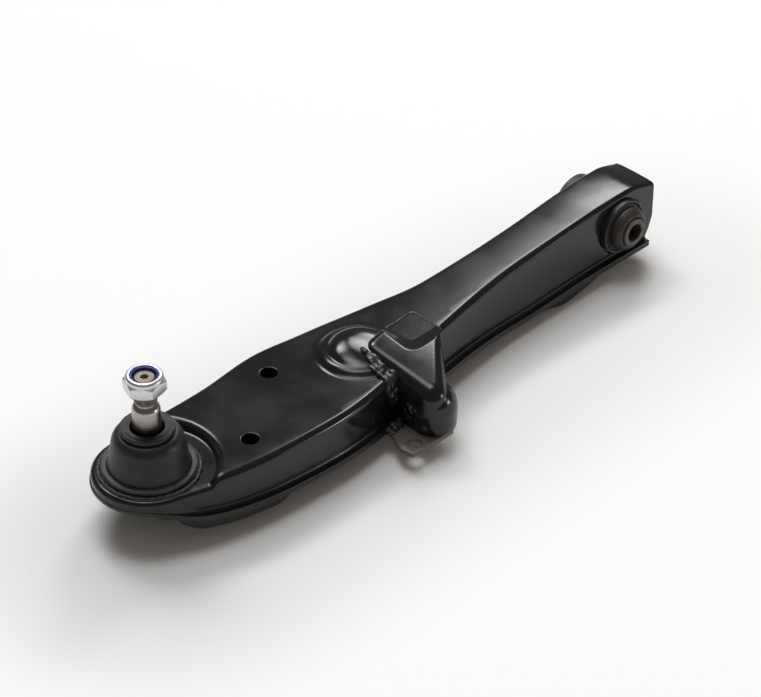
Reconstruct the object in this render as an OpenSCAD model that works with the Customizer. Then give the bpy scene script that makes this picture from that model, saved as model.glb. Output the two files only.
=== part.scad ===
// Front lower control arm: a welded box of two pressed sheets with a rubber bush at the inner end,
// a ball joint at the outer end and a pressed side bracket near the middle.
// The origin is the centre of the bush. +X runs outboard to the ball joint, +Y to the bracket's side.

/* [Arm] */
// Distance from the bush axis to the ball stud axis
arm_l = 380; // [365:1:420]
// Radius of the round outer end about the ball stud axis
tip_r = 33.5; // [32:0.5:37]
// Distance from the bush axis to the cut inner end
end_l = 31.8; // [28:0.2:36]
// Thickness of the two pressed sheets
sheet_t = 2; // [1.6:0.1:2.8]
// Height of the flat outer top above the bush axis
outer_top = 8; // [6:0.5:11]
// Radius along the top edges
edge_r = 6; // [4:0.5:8]
// Width of the weld flange outside the walls
flange_w = 4.5; // [3:0.1:6]
// Depth of the pressed pan in the lower plate
pan_depth = 6.6; // [3:0.2:8]

/* [Arm outline] */
// Width over the walls at the bush
bush_end_w = 34; // [30:0.5:38]
// Distance from the bush axis to the waist
waist_at = 100; // [85:1:115]
// Rear wall at the waist, from the arm's axis
waist_rear = 14.6; // [12:0.2:17]
// Front wall at the waist, from the arm's axis
waist_front = 19.5; // [17:0.5:23]
// Distance from the ball stud axis to the widest place
paddle_at = 110; // [105:1:118]
// Rear wall at the widest place, from the arm's axis
paddle_rear = 36.2; // [33:0.2:39]
// Front wall at the widest place, from the arm's axis
paddle_front = 47.5; // [44:0.5:50]

/* [Seat and strut rod holes] */
// Depth of the ball joint's seat below the outer top
seat_drop = 5; // [3:0.5:6]
// Radius of the step round the seat
step_r = 40; // [38:0.5:43]
// Diameter of the two strut rod bolt holes
strut_hole_d = 10.4; // [8:0.1:13]
// Inner strut rod hole, back from the ball stud axis
strut_1_back = 105.5; // [95:0.5:110]
// Inner strut rod hole, to the rear of the arm's axis
strut_1_rear = 14.6; // [8:0.2:18]
// Outer strut rod hole, back from the ball stud axis
strut_2_back = 55.3; // [52:0.5:70]
// Outer strut rod hole, to the front of the arm's axis
strut_2_front = 24.8; // [12:0.2:28]

/* [Boss] */
// Distance from the ball stud axis back to the boss
boss_back = 159.5; // [158:0.5:163]
// Distance of the boss to the front of the arm's axis
boss_y = 8.7; // [6:0.1:10]
// Radius of the boss at its foot
boss_r = 27; // [24:0.5:28]
// Radius of the boss at its top
boss_top_r = 18.5; // [15:0.5:20]
// Height of the boss above the sheet
boss_h = 4.7; // [3:0.1:5.4]

/* [Bush] */
// Bore of the inner sleeve, for the pivot bolt
bolt_bore_d = 12.2; // [10.2:0.1:14.2]
// Outer diameter of the inner sleeve
sleeve_od = 19; // [17:0.5:22]
// Length of the inner sleeve
sleeve_l = 60; // [52:1:66]
// Outer diameter of the pressed outer sleeve
bush_od = 36.4; // [32:0.2:38]
// Length of the pressed outer sleeve
bush_l = 45; // [42:1:48]
// Wall of the pressed outer sleeve
bush_t = 1.4; // [1:0.1:2]
// Wall of the welded bush tube
tube_t = 1.5; // [1:0.1:2.5]
// Diameter of the rubber's end boss
rubber_boss_d = 29.5; // [26:0.5:31]

/* [Side bracket] */
// Distance from the ball stud axis back to the bracket's outer wall
hood_back = 156; // [154:0.5:162]
// Reach of the bracket's nose from the arm's axis
hood_reach = 74; // [70:0.5:80]
// Radius of the bracket's nose
nose_r = 13.2; // [12:0.2:15]
// Length of the bracket along the arm
hood_l = 49; // [44:0.5:54]
// Height of the bracket's rear edge above the bush axis
hood_rear_z = 17; // [15:0.5:20]
// Height of the bracket's top at the nose above the bush axis
hood_nose_z = 10; // [7:0.5:12]
// Thickness of the bracket's sheet
hood_t = 2.6; // [2:0.1:3]
// Diameter of the hole in the bracket's outer wall
side_hole_d = 10.4; // [9:0.2:12]
// Thread of the weld nut behind it, at the crests
bracket_thread_d = 8.5; // [6:0.1:8.8]
// Diameter of the hole in the base plate
base_hole_d = 8.4; // [6:0.2:10]

/* [Ball joint] */
// Diameter of the ball
ball_d = 27; // [25:0.5:28]
// Height of the ball's centre above the bush axis
ball_z = 4; // [3:0.5:5]
// Stud diameter where the taper leaves the boot
taper_d = 19; // [17.6:0.2:19.4]
// Height of the taper's small end above the bush axis
taper_top = 45; // [42:0.5:48]
// Thread diameter of the stud
thread_d = 14; // [12:1:16]
// Height of the stud's end above the bush axis
stud_top = 68.3; // [67:0.1:72]
// Outer radius of the ball joint's housing in its seat
housing_r = 25; // [24:0.2:26]
// Height of the dust boot's lip above the bush axis
boot_top = 33.5; // [31:0.5:36]
// Diameter of the dust boot's body above the clamp ring
boot_d = 48.6; // [47.6:0.5:50]
// Outer diameter of the boot's clamp ring
clamp_d = 55.4; // [54:0.2:57]

/* [Lock nut] */
// Width of the nut across its flats
nut_af = 22; // [19:0.5:24]
// Height of the nut's seat above the bush axis
nut_z = 59.5; // [56:0.5:61]
// Height of the nut's hexagon
nut_hex_h = 7.6; // [6:0.2:9]
// Height of the nut's round collar
nut_collar_h = 3.2; // [2.4:0.2:4]

/* [Hidden] */
$fn = 64;

// Clearances: a seat between fixed pieces, a running fit, and the slack that a cut needs
seat_gap = 0.05;
run_gap = 0.05;
cut = 1;

// Heights that follow from the bush
tube_r = bush_od / 2 + seat_gap + tube_t;
tube_cover = 1.4;
inner_top = tube_r + tube_cover + sheet_t;
joint_z = -(tube_r + 3.85);
seat_z = outer_top - seat_drop;
end_drop = 5;
flap_l = 22;

// Places along the arm
boss_x = arm_l - boss_back;
hood_x = arm_l - hood_back;
strut_1 = [arm_l - strut_1_back, -strut_1_rear];
strut_2 = [arm_l - strut_2_back, strut_2_front];
tip_edge_r = 3;
bend_x = arm_l - 130;

// Wall lines in plan, as places along the arm and distances from its axis
half_end = bush_end_w / 2;
tip_c = [arm_l, -0.8];
front_arc_from = 72;
rear_arc_from = 90;
REAR = [
    [-end_l, half_end],
    [waist_at, waist_rear],
    [waist_at + 45, waist_rear + 0.8],
    [arm_l - 190, waist_rear + 8.7],
    [arm_l - 147, waist_rear + 17],
    [arm_l - paddle_at, paddle_rear],
    [arm_l - 64, paddle_rear - 4.6],
    [arm_l - 40, paddle_rear - 5.2],
    [arm_l, tip_r - tip_c[1]]
];
FRONT = [
    [-end_l, half_end],
    [40, half_end + 0.8],
    [waist_at, waist_front],
    [arm_l - 212, waist_front + 8.3],
    [arm_l - 150, paddle_front - 5.4],
    [arm_l - paddle_at + 8, paddle_front],
    [arm_l - 62, paddle_front - 1.2],
    [arm_l - 35, paddle_front - 4.3],
    [arm_l + tip_r * cos(front_arc_from), tip_c[1] + tip_r * sin(front_arc_from)]
];
// Height of the top, and of the joint between the two sheets
TOP = [
    [-end_l, inner_top - end_drop],
    [-end_l + flap_l, inner_top],
    [20, inner_top - 0.8],
    [70, inner_top - 4.9],
    [bend_x - 45, outer_top + 1.6],
    [bend_x, outer_top],
    [arm_l - 17, outer_top],
    [arm_l - 6, seat_z - seat_gap],
    [arm_l + tip_r, seat_z - seat_gap]
];
JOINT = [
    [-end_l, joint_z],
    [25, joint_z],
    [85, joint_z - 1.7],
    [150, joint_z + 1.3],
    [arm_l - 135, joint_z + 2.2],
    [arm_l - 75, joint_z + 3.5],
    [arm_l - 44, joint_z + 5.2],
    [arm_l - 25, joint_z + 6.7],
    [arm_l - 8, joint_z + 9],
    [arm_l + 4, seat_z - 14.5],
    [arm_l + 13, seat_z - 11],
    [arm_l + 22, seat_z - 8.6],
    [arm_l + tip_r, seat_z - 8]
];
FLANGE = [
    [-end_l, flange_w],
    [arm_l - 10, flange_w],
    [arm_l + 14, 0.8],
    [arm_l + tip_r, 0.6]
];
EDGE = [
    [-end_l, min(edge_r, 4)],
    [20, min(edge_r, 4)],
    [waist_at, edge_r],
    [arm_l - 30, edge_r],
    [arm_l - 6, tip_edge_r],
    [arm_l + tip_r, tip_edge_r]
];

// Smooth curve through a table, with no overshoot
function secant(t, i) = (t[i + 1][1] - t[i][1]) / (t[i + 1][0] - t[i][0]);
function mean_slope(a, b) = a * b <= 0 ? 0 : 2 * a * b / (a + b);
function slope(t, i) =
    i == 0 ? secant(t, 0)
    : i == len(t) - 1 ? secant(t, i - 1)
    : mean_slope(secant(t, i - 1), secant(t, i));
function segment(t, x) = max([for (i = [0 : len(t) - 2]) if (i == 0 || x >= t[i][0]) i]);
function curve(t, x) =
    let (i = segment(t, x), h = t[i + 1][0] - t[i][0], u = (x - t[i][0]) / h)
    (2 * u^3 - 3 * u^2 + 1) * t[i][1] + (u^3 - 2 * u^2 + u) * h * slope(t, i)
    + (3 * u^2 - 2 * u^3) * t[i + 1][1] + (u^3 - u^2) * h * slope(t, i + 1);
function front_y(x) = curve(FRONT, x);
function rear_y(x) = -curve(REAR, x);
function top_z(x) = curve(TOP, x);

// Stations of the wall line: along the sides, then round the outer end
function steps(a, b, n) = [for (k = [1 : n]) a + (b - a) * k / n];
function side_x(last) = concat(
    [-end_l],
    steps(-end_l, -end_l + flap_l, 4),
    steps(-end_l + flap_l, waist_at, 6),
    steps(waist_at, arm_l - 17, 18),
    steps(arm_l - 17, arm_l - 6, 3),
    steps(arm_l - 6, last, 2)
);
arc_steps = 9;
arc_end = 3;
function tip_points(from, sign) = [
    for (a = steps(from, arc_end, arc_steps)) tip_c + tip_r * [cos(a), sign * sin(a)]
];
FRONT_LINE = concat(
    [for (x = side_x(arm_l + tip_r * cos(front_arc_from))) [x, front_y(x)]],
    tip_points(front_arc_from, 1)
);
REAR_LINE = concat([for (x = side_x(arm_l)) [x, rear_y(x)]], tip_points(rear_arc_from, -1));

// Outward direction of a wall line at a station
function unit(v) = v / norm(v);
function outward(line, i, side) =
    i == 0 ? [0, side]
    : i == len(line) - 1 ? unit(line[i] - tip_c)
    : let (d = unit(line[i + 1] - line[i - 1])) side * [-d[1], d[0]];
function wall_point(line, i, side, off, z) =
    let (p = line[i] + off * outward(line, i, side)) [p[0], p[1], z];

// Rows of the outside and of the hollow, from the flange up to the top, as [offset, height]
arc_rows = [22.5, 45, 67.5, 90];
lean = 0.35;
function outer_rows(x) =
    let (
        zb = curve(JOINT, x), zt = top_z(x), w = curve(FLANGE, x), r = curve(EDGE, x),
        root = min(1.5, 0.6 * w)
    )
    concat(
        [[w, zb], [w, zb + sheet_t], [root, zb + sheet_t + lean], [0, zb + sheet_t + root], [0, zt - r]],
        [for (a = arc_rows) [-r * (1 - cos(a)), zt - r * (1 - sin(a))]]
    );
function hollow_rows(x) =
    let (zb = curve(JOINT, x), zt = top_z(x) - sheet_t, r = max(curve(EDGE, x) - sheet_t, 0.5))
    concat(
        [[-sheet_t, zb - cut], [-sheet_t, zt - r]],
        [for (a = [45, 90]) [-sheet_t - r * (1 - cos(a)), zt - r * (1 - sin(a))]]
    );
function section(i, outside) =
    let (
        f = FRONT_LINE[i], r = REAR_LINE[i],
        fr = outside ? outer_rows(f[0]) : hollow_rows(f[0]),
        rr = outside ? outer_rows(r[0]) : hollow_rows(r[0]),
        m = len(fr)
    )
    concat(
        [for (k = [0 : m - 1]) wall_point(FRONT_LINE, i, 1, fr[k][0], fr[k][1])],
        [for (k = [m - 1 : -1 : 0]) wall_point(REAR_LINE, i, -1, rr[k][0], rr[k][1])]
    );

// Solids between rings of points, closed by a flat face or by strips across
function skin(n, m) = [
    for (i = [0 : n - 2]) for (k = [0 : m - 1])
        let (a = i * m + k, b = i * m + (k + 1) % m)
        for (face = [[a, a + m, b + m], [a, b + m, b]]) face
];
function flat_ends(n, m) = [[for (k = [0 : m - 1]) k], [for (k = [m - 1 : -1 : 0]) (n - 1) * m + k]];
function strip_ends(n, m) =
    let (o = (n - 1) * m)
    concat(
        [for (k = [0 : m / 2 - 2]) [k, k + 1, m - 2 - k, m - 1 - k]],
        [for (k = [0 : m / 2 - 2]) [o + k, o + m - 1 - k, o + m - 2 - k, o + k + 1]]
    );
function flat(list) = [for (part = list) for (p = part) p];
module loft(rings, strips = false) {
    n = len(rings);
    m = len(rings[0]);
    polyhedron(flat(rings), concat(skin(n, m), strips ? strip_ends(n, m) : flat_ends(n, m)));
}

// The arm's filled outside, and its hollow
module arm_outside() {
    difference() {
        loft([for (i = [0 : len(FRONT_LINE) - 1]) section(i, true)], strips = true);
        translate([arm_l, 0, seat_z]) cylinder(r = step_r, h = outer_top);
    }
    boss_outside();
}
module arm_hollow() {
    first = [for (p = section(0, false)) p - [cut, 0, 0]];
    rest = [for (i = [1 : len(FRONT_LINE) - 1]) section(i, false)];
    difference() {
        loft(concat([first], rest), strips = true);
        translate([arm_l, 0, seat_z - sheet_t]) cylinder(r = step_r + sheet_t, h = outer_top);
    }
}
boss_rate = boss_h / (boss_r - boss_top_r);
boss_crown = 0.8;
function boss_z(d) =
    d > boss_top_r ? top_z(boss_x) + boss_rate * (boss_r - d)
    : top_z(boss_x) + boss_h + boss_crown * (1 - (d / boss_top_r)^2);
function surface_z(x, y) = max(top_z(x), boss_z(norm([x - boss_x, y - boss_y])));
module boss_outside() {
    foot_r = boss_r + sheet_t / 2 / boss_rate;
    profile = [for (d = [boss_top_r : -boss_top_r / 4 : 0]) [d, boss_z(d)]];
    translate([boss_x, boss_y, 0]) rotate_extrude()
        polygon(concat([[0, boss_z(foot_r)], [foot_r, boss_z(foot_r)]], profile));
}
module strut_holes(d, z, h) {
    for (p = [strut_1, strut_2]) translate([p[0], p[1], z]) cylinder(d = d, h = h);
}

module upper_shell() {
    color("#26272a") difference() {
        arm_outside();
        arm_hollow();
        strut_holes(strut_hole_d, outer_top - 2 * sheet_t, 4 * sheet_t);
        translate([0, bush_end_w, 0]) rotate([90, 0, 0])
            cylinder(r = tube_r + seat_gap, h = 2 * bush_end_w);
        translate([arm_l, 0, seat_z - 2 * sheet_t])
            cylinder(r = housing_r + seat_gap, h = 3 * sheet_t);
        inner_end_cut();
    }
}

// The side walls' inner end is drawn in below the bush axis
module inner_end_cut() {
    translate([-end_l, bush_end_w, joint_z + sheet_t]) rotate([90, 0, 0])
        linear_extrude(2 * bush_end_w)
        polygon([
            [-cut, -sheet_t - cut], [7, -sheet_t - cut], [7, 0], [5, 3], [2.4, 9], [0.5, 16],
            [0.5, 3 * tube_r], [-cut, 3 * tube_r]
        ]);
}

// Lower plate under the flange, with a pressed pan whose sides stand near the edge at both ends
pan_from = 51;
pan_side = 1.5;
pan_rest = 0.6;
plate_end = arm_l + 16;
PAN = [
    [-end_l, pan_rest], [5, pan_rest], [pan_from - 19, pan_depth + 0.4], [pan_from, pan_depth + 2.4],
    [pan_from + 16, pan_depth], [arm_l - 8, pan_depth + 1], [arm_l + 2, pan_depth - 1.5],
    [arm_l + 9, pan_rest], [plate_end, pan_rest]
];
PAN_IN = [
    [-end_l, 1.5], [pan_from, 1.5], [pan_from + 29, 5.5], [waist_at, 7],
    [arm_l - 75, 6.5], [arm_l - 56, 2], [arm_l - 10, 1.5], [plate_end, 1.5]
];
function plate_rows(x) =
    let (zb = curve(JOINT, x) - seat_gap, w = curve(FLANGE, x), in = w - curve(PAN_IN, x))
    [[w, zb], [in, zb], [in - pan_side, zb - curve(PAN, x)]];
function tip_y(x, side) = tip_c[1] + side * sqrt(max(tip_r^2 - (x - arm_l)^2, 0));
function plate_front(x) = x < FRONT[len(FRONT) - 1][0] ? front_y(x) : tip_y(x, 1);
function plate_rear(x) = x < arm_l ? rear_y(x) : tip_y(x, -1);
function plate_section(x) =
    let (rows = plate_rows(x), f = plate_front(x), r = plate_rear(x), down = [0, 0, sheet_t])
    concat(
        [for (q = rows) [x, f + q[0], q[1]] - down],
        [for (k = [2 : -1 : 0]) [x, r - rows[k][0], rows[k][1]] - down],
        [for (q = rows) [x, r - q[0], q[1]]],
        [for (k = [2 : -1 : 0]) [x, f + rows[k][0], rows[k][1]]]
    );
access_d = 24;
module lower_plate() {
    xs = concat(
        steps(-end_l - 4, 5, 3), steps(5, pan_from, 6), steps(pan_from, pan_from + 30, 5),
        steps(pan_from + 30, arm_l - 55, 14), steps(arm_l - 55, plate_end, 13)
    );
    color("#222326") difference() {
        loft([for (x = xs) plate_section(x)], strips = true);
        translate([arm_l, 0, joint_z - 2 * tip_r]) cylinder(r = housing_r + 1, h = 4 * tip_r);
        strut_holes(access_d, joint_z - 2 * pan_depth - sheet_t, 4 * sheet_t + 3 * pan_depth);
    }
}

doubler_t = 3;
module strut_doubler() {
    half = 14;
    corner = 6;
    z = outer_top - sheet_t - seat_gap - doubler_t;
    d = strut_2 - strut_1;
    far = norm(d) + half;
    color("#303135") difference() {
        translate([strut_1[0], strut_1[1], z]) rotate(atan2(d[1], d[0])) linear_extrude(doubler_t) polygon([
            [-half, corner - half], [corner - half, -half], [far - corner, -half], [far, corner - half],
            [far, half - corner], [far - corner, half], [corner - half, half], [-half, half - corner]
        ]);
        strut_holes(strut_hole_d, z - cut, doubler_t + 2 * cut);
    }
}

// Pieces turned about the bush axis
module about_bush() {
    rotate([90, 0, 0]) rotate_extrude() children();
}
rubber_r = bush_od / 2 - bush_t - seat_gap;
bush_back = 1.5;
sleeve_r = sleeve_od / 2;
module bush_tube() {
    l = bush_end_w / 2 - 0.6;
    color("#1d1e20") about_bush()
        translate([tube_r - tube_t, -l]) square([tube_t, 2 * l]);
}
module bush_outer_sleeve() {
    color("#1a1a1b") about_bush()
        translate([bush_od / 2 - bush_t, -bush_l / 2 + bush_back]) square([bush_t, bush_l]);
}
module bush_rubber() {
    end = bush_l / 2 - bush_back;
    boss = sleeve_l / 2 - 3;
    boss_edge = rubber_boss_d / 2;
    half = [
        [sleeve_r + run_gap, boss], [boss_edge - 3.4, boss], [boss_edge - 1.2, boss - 1],
        [boss_edge, boss - 3.4], [boss_edge + 0.3, end + 0.6], [rubber_r - 0.6, end - 0.4],
        [rubber_r, end - 1.4]
    ];
    color("#222222") about_bush() polygon(concat(
        half, [for (k = [len(half) - 1 : -1 : 0]) [half[k][0], -half[k][1]]]
    ));
}
module bush_inner_sleeve() {
    bevel = 0.8;
    l = sleeve_l / 2;
    b = bolt_bore_d / 2;
    color("#3a3a3b") about_bush() polygon([
        [b, -l], [sleeve_r - bevel, -l], [sleeve_r, -l + bevel],
        [sleeve_r, l - bevel], [sleeve_r - bevel, l], [b, l]
    ]);
}

// Outline round circles [x, y, radius, edge radius], each drawn in by a share of its edge radius
function line_angle(a, b) =
    let (d = [b[0] - a[0], b[1] - a[1]]) atan2(d[1], d[0]) - 90 + asin((a[2] - b[2]) / norm(d));
function turn_to(from, to) = to < from ? turn_to(from, to + 360) : to;
function round_line(circles, inset, n = 8) = [
    for (i = [0 : len(circles) - 1])
        let (
            c = circles[i], m = len(circles),
            from = line_angle(circles[(i + m - 1) % m], c),
            to = turn_to(from, line_angle(c, circles[(i + 1) % m]))
        )
        for (k = [0 : n]) let (a = from + (to - from) * k / n, r = c[2] - inset * c[3])
            [c[0] + r * cos(a), c[1] + r * sin(a), c[3]]
];

// Side bracket: a pressed hood with a ridge, a round nose under it and a lower weld pad on the arm's top
hood_rear_y = 9;
hood_edge_r = 3.5;
nose_edge_r = 9;
nose_y = hood_reach - nose_r;
nose_swell = 0.8;
ridge_r = 9.5;
pad_corner_r = 5;
pad_x = hood_x - hood_l;
pad_y = 27;
base_z = joint_z + 1.3;
HOOD = [
    [hood_x - 7, hood_rear_y + 7, 7, hood_edge_r],
    [hood_x - ridge_r, nose_y + 1.2, ridge_r, nose_edge_r],
    [pad_x + pad_corner_r, pad_y, pad_corner_r, hood_edge_r],
    [pad_x + pad_corner_r, hood_rear_y + 1, pad_corner_r, hood_edge_r]
];
hood_tilt = 0.065;
function hood_z(x, y) = hood_rear_z + hood_tilt * (hood_x - x)
    + (hood_nose_z - hood_rear_z) * (y - hood_rear_y) / (nose_y - hood_rear_y);
function hood_circles(in) = [for (c = HOOD) [c[0], c[1], c[2] - in, max(c[3] - in, 0.6)]];
module hood_solid(in, floor_z) {
    circles = hood_circles(in);
    wall = [for (p = round_line(circles, 0)) [p[0], p[1], floor_z]];
    arcs = [
        for (a = [0, 30, 60, 90]) [
            for (p = round_line(circles, 1 - cos(a)))
                [p[0], p[1], hood_z(p[0], p[1]) - in - p[2] * (1 - sin(a))]
        ]
    ];
    loft(concat([wall], arcs));
    hood_nose(in, floor_z);
}
module hood_nose(in, floor_z) {
    r = nose_r + nose_swell - in;
    dome = 1.15 * r;
    z = hood_nose_z - 2.5 - in - dome;
    translate([hood_x - nose_r, nose_y, 0]) rotate_extrude() polygon(concat(
        [[0, floor_z], [r - 0.5, floor_z]],
        [for (a = [0 : 18 : 90]) [r * cos(a), z + dome * sin(a)]]
    ));
}

// Recess over the weld pad, with sloped sides
recess_x = hood_x - 27;
recess_y = 27.5;
recess_r = 5;
recess_slope = 20;
module pad_recess(out) {
    far = 60;
    lift = 14;
    circles = [
        [recess_x - recess_r, recess_y - recess_r, recess_r + out, 1],
        [recess_x - far, recess_y - recess_r, recess_r + out, 1],
        [recess_x - far, recess_y - far, recess_r + out, 1],
        [recess_x - recess_r, recess_y - far, recess_r + out, 1]
    ];
    spread = lift / tan(recess_slope);
    loft([
        [for (p = round_line(circles, 0)) [p[0], p[1], pad_top(p[0]) - out]],
        [for (p = round_line(circles, -spread)) [p[0], p[1], pad_top(p[0]) - out + lift]]
    ]);
}
pad_slope = (top_z(pad_x) - top_z(recess_x)) / (recess_x - pad_x);
function pad_top(x) = top_z(recess_x) + hood_t + pad_slope * (recess_x - x);
side_hole = [hood_x, nose_y - 6.5, -9.6];
module along_x(at, d, h) {
    translate(at) rotate([0, -90, 0]) cylinder(d = d, h = h, $fn = $fn);
}

// Room for the lower plate's edge, where the hood reaches below the flange
module plate_room() {
    from = pad_x - pad_corner_r;
    line = [for (x = steps(from, hood_x + cut, 12)) [x, front_y(x) + flange_w + seat_gap]];
    translate([0, 0, base_z - cut]) linear_extrude(joint_z + 3 * sheet_t - base_z)
        polygon(concat([[from, 0], [from, front_y(from)]], line, [[hood_x + cut, 0]]));
}
module bracket_hood() {
    color("#242528") difference() {
        hood_solid(0, base_z);
        pad_recess(0);
        difference() {
            hood_solid(hood_t, base_z - cut);
            pad_recess(hood_t);
        }
        arm_outside();
        plate_room();
        along_x(side_hole + [nose_swell + cut, 0, 0], side_hole_d, hood_t + nose_swell + 2 * cut);
    }
}
module bracket_nut() {
    at = side_hole - [hood_t + seat_gap, 0, 0];
    h = 8;
    color("#b7a27a") difference() {
        translate(at) rotate([0, -90, 0]) cylinder(d = 17, h = h, $fn = 6);
        along_x(at + [cut, 0, 0], bracket_thread_d, h + 2 * cut);
    }
}
base_t = 3;
base_in = 20;
base_out = 18.3;
seam_out = 11.5;
base_from = hood_x - base_in;
base_to = hood_x + base_out;
base_seam = hood_x + seam_out;
base_hole_out = 8;
base_hole_front = 5;
base_hole = [hood_x + base_hole_out, nose_y + base_hole_front];
function flange_edge(x) = front_y(x) + flange_w + 0.3;
module bracket_base_plate() {
    front = hood_reach - 0.6;
    edge = concat(
        [[base_from, flange_edge(base_from)]],
        [for (x = steps(base_from, base_seam, 6)) [x, flange_edge(x)]]
    );
    color("#2a2724") translate([0, 0, base_z - seat_gap - base_t]) difference() {
        linear_extrude(base_t) polygon(concat(edge, [
            [base_seam + 2, flange_edge(base_seam) + 5], [base_to, front - 9.5],
            [base_to - 1.5, front], [base_from + 3, front], [base_from, front - 5]
        ]));
        translate([base_hole[0], base_hole[1], -cut]) cylinder(d = base_hole_d, h = base_t + 2 * cut);
    }
}

// Lumpy weld beads: a rounded fillet with a wavy leg, along a line of points
function bead_wave(k) = 1 + 0.12 * sin(k * 97) + 0.08 * sin(k * 211);

// The arm's front profile at a station, from the top down the wall, as [y, z, outward]
function front_profile(x) =
    let (zt = top_z(x), r = curve(EDGE, x), w = front_y(x), zb = curve(JOINT, x) + sheet_t)
    concat(
        [for (y = steps(hood_rear_y + 1, w - r, 9)) [y, surface_z(x, y), [0, 1]]],
        [for (a = [67.5, 45, 22.5]) [w - r * (1 - cos(a)), zt - r * (1 - sin(a)), [cos(a), sin(a)]]],
        [for (z = steps(zt - r, zb + 2, 8)) [w, z, [1, 0]]]
    );

// The bead on the bracket's outer wall is widest where it turns down over the arm's edge
side_bead = 4.2;
side_reach = 11;
bead_sink = 0.6;
module bracket_weld_side() {
    near = front_profile(hood_x + seat_gap);
    away = front_profile(hood_x + side_reach);
    n = len(near) - 1;
    function lifted(p, x, h) = [x, p[0] + h * p[2][0], p[1] + h * p[2][1]];
    function blend(k, u, h) =
        let (x = hood_x + seat_gap + u * side_reach, p = near[k], q = away[k])
        lifted([p[0] + u * (q[0] - p[0]), p[1] + u * (q[1] - p[1]), p[2]], x, h);
    rings = [
        for (k = [0 : n]) let (
            h = side_bead * bead_wave(k), u = (0.25 + 0.75 * sin(180 * k / n)^1.5) * bead_wave(k + 5) / 1.2
        ) [
            blend(k, 0, -bead_sink), blend(k, 0, h), blend(k, 0.45 * u, 0.62 * h), blend(k, u, -bead_sink)
        ]
    ];
    color("#17181a") difference() {
        loft(rings);
        arm_outside();
    }
}
module bracket_weld_pad() {
    leg = 2.2;
    lift = 0.25;
    rear = hood_rear_y - 4;
    path = concat(
        [for (x = steps(recess_x, pad_x - 0.5, 12)) [x, rear - 0.4, [0, -1]]],
        [for (y = steps(rear + 2, pad_y + 3, 9)) [pad_x - 0.1, y, [-1, 0]]]
    );
    rings = [
        for (k = [0 : len(path) - 1]) let (
            p = path[k], s = leg * bead_wave(k), q = [p[0], p[1]] + s * p[2],
            z = top_z(p[0]) + lift
        ) [
            [p[0], p[1], z], [p[0], p[1], z + s],
            [p[0] + 0.62 * s * p[2][0], p[1] + 0.62 * s * p[2][1], z + 0.72 * s],
            [q[0], q[1], top_z(q[0]) + lift]
        ]
    ];
    color("#17181a") difference() {
        loft(rings);
        boss_outside();
    }
}
module bracket_weld_base() {
    z = base_z;
    rings = [
        for (k = [0 : 9]) let (
            x = hood_x + 1 + (base_seam - hood_x - 1.5) * k / 9, y = flange_edge(x),
            s = 2.6 * bead_wave(k)
        ) [[x, y + s, z], [x, y + 0.7 * s, z + 0.7 * s], [x, y, z + s], [x, y, z]]
    ];
    color("#17181a") loft(rings);
}

// Ball joint pieces are turned about the stud's axis
module about_stud() {
    translate([arm_l, 0, 0]) rotate_extrude() children();
}
module ball_space(r) {
    translate([arm_l, 0, ball_z]) sphere(r = r);
}
ball_r = ball_d / 2;
seat_wall = 2.1;
seat_out_r = ball_r + run_gap + seat_wall;
mouth_z = ball_z + 5.5;
neck_out_r = boot_d / 2 - 3.3;
cup_top = ball_z - 8.8;
cup_bottom = ball_z - ball_r - 1.3;
washer_t = 1;
cap_t = 1.5;
cap_top = cup_bottom - 2 * seat_gap - washer_t;
cap_r = seat_out_r + 2;
housing_bottom = cap_top - cap_t - 0.8;
collar_r = clamp_d / 2 + 0.4;
collar_top = seat_z + 1.2;
bore_r = seat_out_r + run_gap;
module ball_housing() {
    color("#232325") difference() {
        about_stud() polygon([
            [0, housing_bottom], [housing_r - 4, housing_bottom], [housing_r - 2, housing_bottom + 5],
            [housing_r, seat_z - sheet_t], [housing_r, seat_z + seat_gap],
            [collar_r, seat_z + seat_gap], [collar_r, collar_top], [neck_out_r, collar_top],
            [neck_out_r, mouth_z - 1], [neck_out_r - 1, mouth_z], [0, mouth_z]
        ]);
        ball_space(bore_r);
        about_stud() polygon([
            [0, housing_bottom - cut], [cap_r - 1.2, housing_bottom - cut],
            [cap_r - 1.2, cap_top - cap_t - seat_gap],
            [cap_r + seat_gap, cap_top - cap_t - seat_gap], [cap_r + seat_gap, cap_top + seat_gap],
            [bore_r, cap_top + seat_gap], [bore_r, ball_z], [0, ball_z]
        ]);
    }
}
module ball_seat() {
    top = mouth_z - 0.1;
    bottom = ball_z - 3;
    color("#d8d5c8") difference() {
        intersection() {
            ball_space(seat_out_r);
            translate([arm_l, 0, bottom]) cylinder(r = 2 * ball_r, h = top - bottom);
        }
        ball_space(ball_r + run_gap);
    }
}
module lower_seat() {
    color("#d8d5c8") difference() {
        translate([arm_l, 0, cup_bottom])
            cylinder(r = seat_out_r, h = cup_top - cup_bottom);
        ball_space(ball_r + run_gap);
    }
}
module preload_washer() {
    color("#8c8d90") about_stud()
        translate([5, cap_top + seat_gap]) square([seat_out_r - 5.5, washer_t]);
}
module housing_cap() {
    color("#8c8d90") about_stud() translate([0, cap_top - cap_t]) square([cap_r, cap_t]);
}
housing_weld_w = 2.2;
module housing_weld() {
    in = collar_r + seat_gap;
    out = in + housing_weld_w;
    z = seat_z + seat_gap;
    color("#161719") about_stud()
        polygon([[in, z], [out, z], [out - 0.5, z + 0.9], [in + 0.6, collar_top + 0.3], [in, collar_top + 0.2]]);
}

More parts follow.
